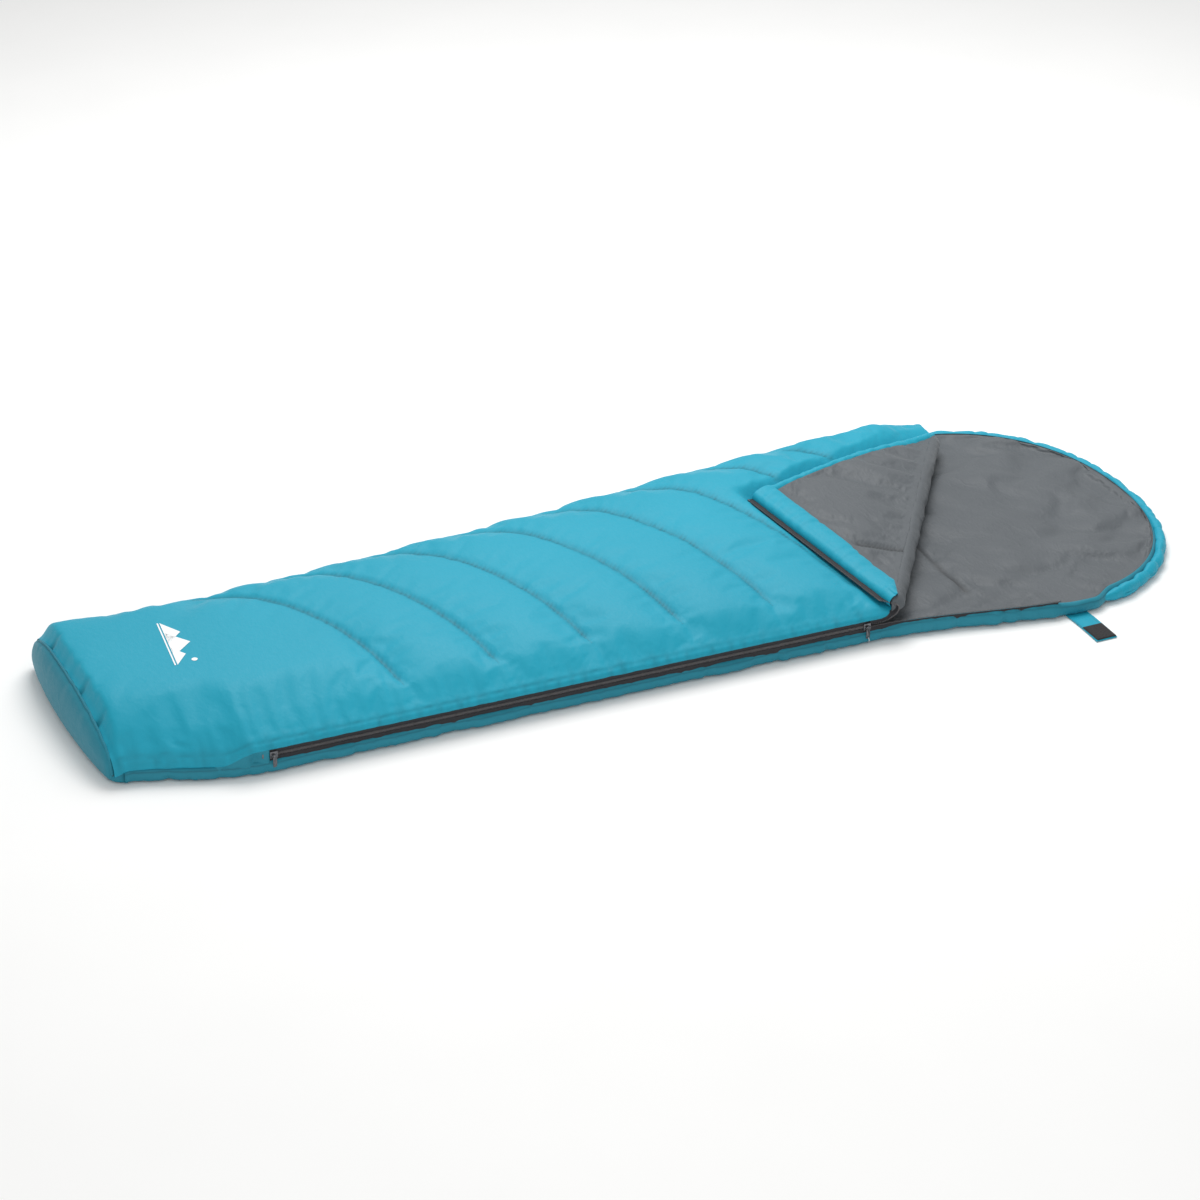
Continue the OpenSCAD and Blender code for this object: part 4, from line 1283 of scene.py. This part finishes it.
def hook_point(u, v):
    y = TAB_ROOT - TAB_L + 0.002 + HOOK_L * u
    x = TAB_X + 0.002 + (TAB_W - 0.004) * v + 0.0010
    rim = off_ends(u, 0.06) * off_ends(v, 0.07)
    return Vector((x, y, 0.0031 + 0.0011 * rim + 0.00025 * rim * ripple(x * 900, y * 900, 72)))

hook_patch = finish_piece("tab_hook_cloth", mapped_grid(60, 48, hook_point), hook_finish, "closure_tab",
                          thickness=0.0010)
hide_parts("tab_hook_patch")
TAB_W - 0.004
print("tab", TAB_L, "m long")

# %% [markdown]
# ## Stitches and print
# Stitches are short beads of thread. They are dropped onto the finished cloth with rays, so they lie
# in the seams wherever the simulation left them, and so does the print near the foot.

# %% Cloth surface to drop things on
bpy.context.view_layer.update()
quilt_skin = BVHTree.FromObject(quilt_face, bpy.context.evaluated_depsgraph_get())

def drop(x, y, lift=0.0):
    hit = quilt_skin.ray_cast(Vector((x, y, 1)), Vector((0, 0, -1)))[0]
    return Vector((x, y, hit.z + lift)) if hit else None

STITCH, STITCH_L, THREAD_R = 0.0046, 0.0034, 0.0005
def stitch_row(name, points):
    bead = Matrix.Diagonal((STITCH_L / 2, THREAD_R, THREAD_R, 1))
    bm = bmesh.new()
    for here, ahead in points:
        along = (ahead - here).normalized()
        turn = along.to_track_quat("X", "Z").to_matrix().to_4x4()
        bmesh.ops.create_uvsphere(bm, u_segments=6, v_segments=4, radius=1,
                                  matrix=Matrix.Translation(here) @ turn @ bead)
    finish_piece(name, bm, teal_thread, "bag")

total = 0
for number in range(SEAM_COUNT):
    points, last = [], None
    for i in range(1200):
        v = mix(SEAM_START, SEAM_END - 0.004, i / 1200)
        x = seam_x(number, v)
        y = mix(-near_w(x), far_w(x), v)
        if last and math.hypot(x - last.x, y - last.y) < STITCH:
            continue
        spot = drop(x, y, 0.0002)
        if not spot or flap_cover(x, y) > 0.1 or (spot - fold_near).dot(fold_side) < 0.02:
            continue
        if last:
            points.append((spot, spot * 2 - last))
        last = spot
    if points:
        stitch_row("seam_stitches_%d" % (number + 1), points)
    total += len(points)
print(total, "stitches")

# %% The print near the foot
PRINT_X, PRINT_Y, PRINT_W, PRINT_H = -0.894, 0.086, 0.156, 0.044
PRINT_TURN = math.radians(7)
print_along = Vector((-math.sin(PRINT_TURN), -math.cos(PRINT_TURN)))
print_up = Vector((math.cos(PRINT_TURN), -math.sin(PRINT_TURN)))
bm = bmesh.new()
PEAKS = ((0.00, 0.27, 0.50, 0.78), (0.24, 0.52, 0.80, 1.0), (0.60, 0.78, 1.0, 0.62))
for left, peak, right, height in PEAKS:
    corners = [(left, 0.12), (right, 0.12), (peak, height)]
    bm.faces.new([bm.verts.new((a, b, 0.000002 * left)) for a, b in corners])
bm.faces.new([bm.verts.new(c) for c in ((0, 0, 0), (1, 0, 0), (1, 0.06, 0), (0, 0.06, 0))])
bmesh.ops.subdivide_edges(bm, edges=bm.edges[:], cuts=14, use_grid_fill=True)
sun = Matrix.Translation((0.93, 0.86, 0)) @ Matrix.Diagonal((1, PRINT_W / PRINT_H, 1, 1))
bmesh.ops.create_circle(bm, cap_ends=True, segments=32, radius=0.035, matrix=sun)
for v in bm.verts:
    layer_lift = 0.0006 + v.co.z
    spot = Vector((PRINT_X, PRINT_Y)) + print_along * (PRINT_W * v.co.x) + print_up * (PRINT_H * v.co.y)
    v.co = drop(spot.x, spot.y, layer_lift)
bmesh.ops.recalc_face_normals(bm, faces=bm.faces)
finish_piece("mountain_print", bm, ink_finish, "bag")
print("print", PRINT_W, "by", PRINT_H, "m")

# %% [markdown]
# ## Finishing the frame's own pieces
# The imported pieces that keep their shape, such as tapes and pulls, get finishes here.

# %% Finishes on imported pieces
def dress(finish, *names):
    for name in names:
        data = nodes[name].data
        data.materials.clear()
        data.materials.append(finish)

dress(tape_finish, "zip_tape_lower", "zip_tape_upper", "flap_zip_tape", "zip_coil_lower",
      "zip_coil_upper", "flap_zip_coil")
dress(metal_finish, "zip_foot_stop", "zip_head_stop", "flap_zip_stop", "upper_slider", "upper_pull_tab",
      "lower_slider", "lower_pull_tab")
dress(ring_finish, "upper_pull_ring")
dress(hook_finish, "flap_loop_patch", "tab_hook_patch")
dress(elastic_finish, "hood_elastic")
dress(base_cloth_with_shade, "bottom_outer_shell", "foot_outer_panel", "hood_outer_shell")
dress(face_cloth, "top_outer_shell", "flap_outer_shell", "flap_draft_tube", "flap_head_binding",
      "hood_casing", "tab_strap")
dress(lining_cloth, "bottom_lining", "top_lining", "foot_lining", "flap_lining", "hood_lining",
      "draft_tube")
dress(wadding_finish, "bottom_filling", "top_filling", "foot_filling", "flap_filling", "hood_filling")
print("all", len(nodes), "packed pieces dressed")

# %% [markdown]
# Cloth may stand a little proud of the frame, so both boxes are measured and their difference is printed.

# %% Sizes, and the end
visual_box = [list(corner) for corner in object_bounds()]
proud = [[round((a - b) * 1000, 1) for a, b in zip(p, q)] for p, q in zip(cad_box, visual_box)]
print("cloth stands proud by", proud, "mm")
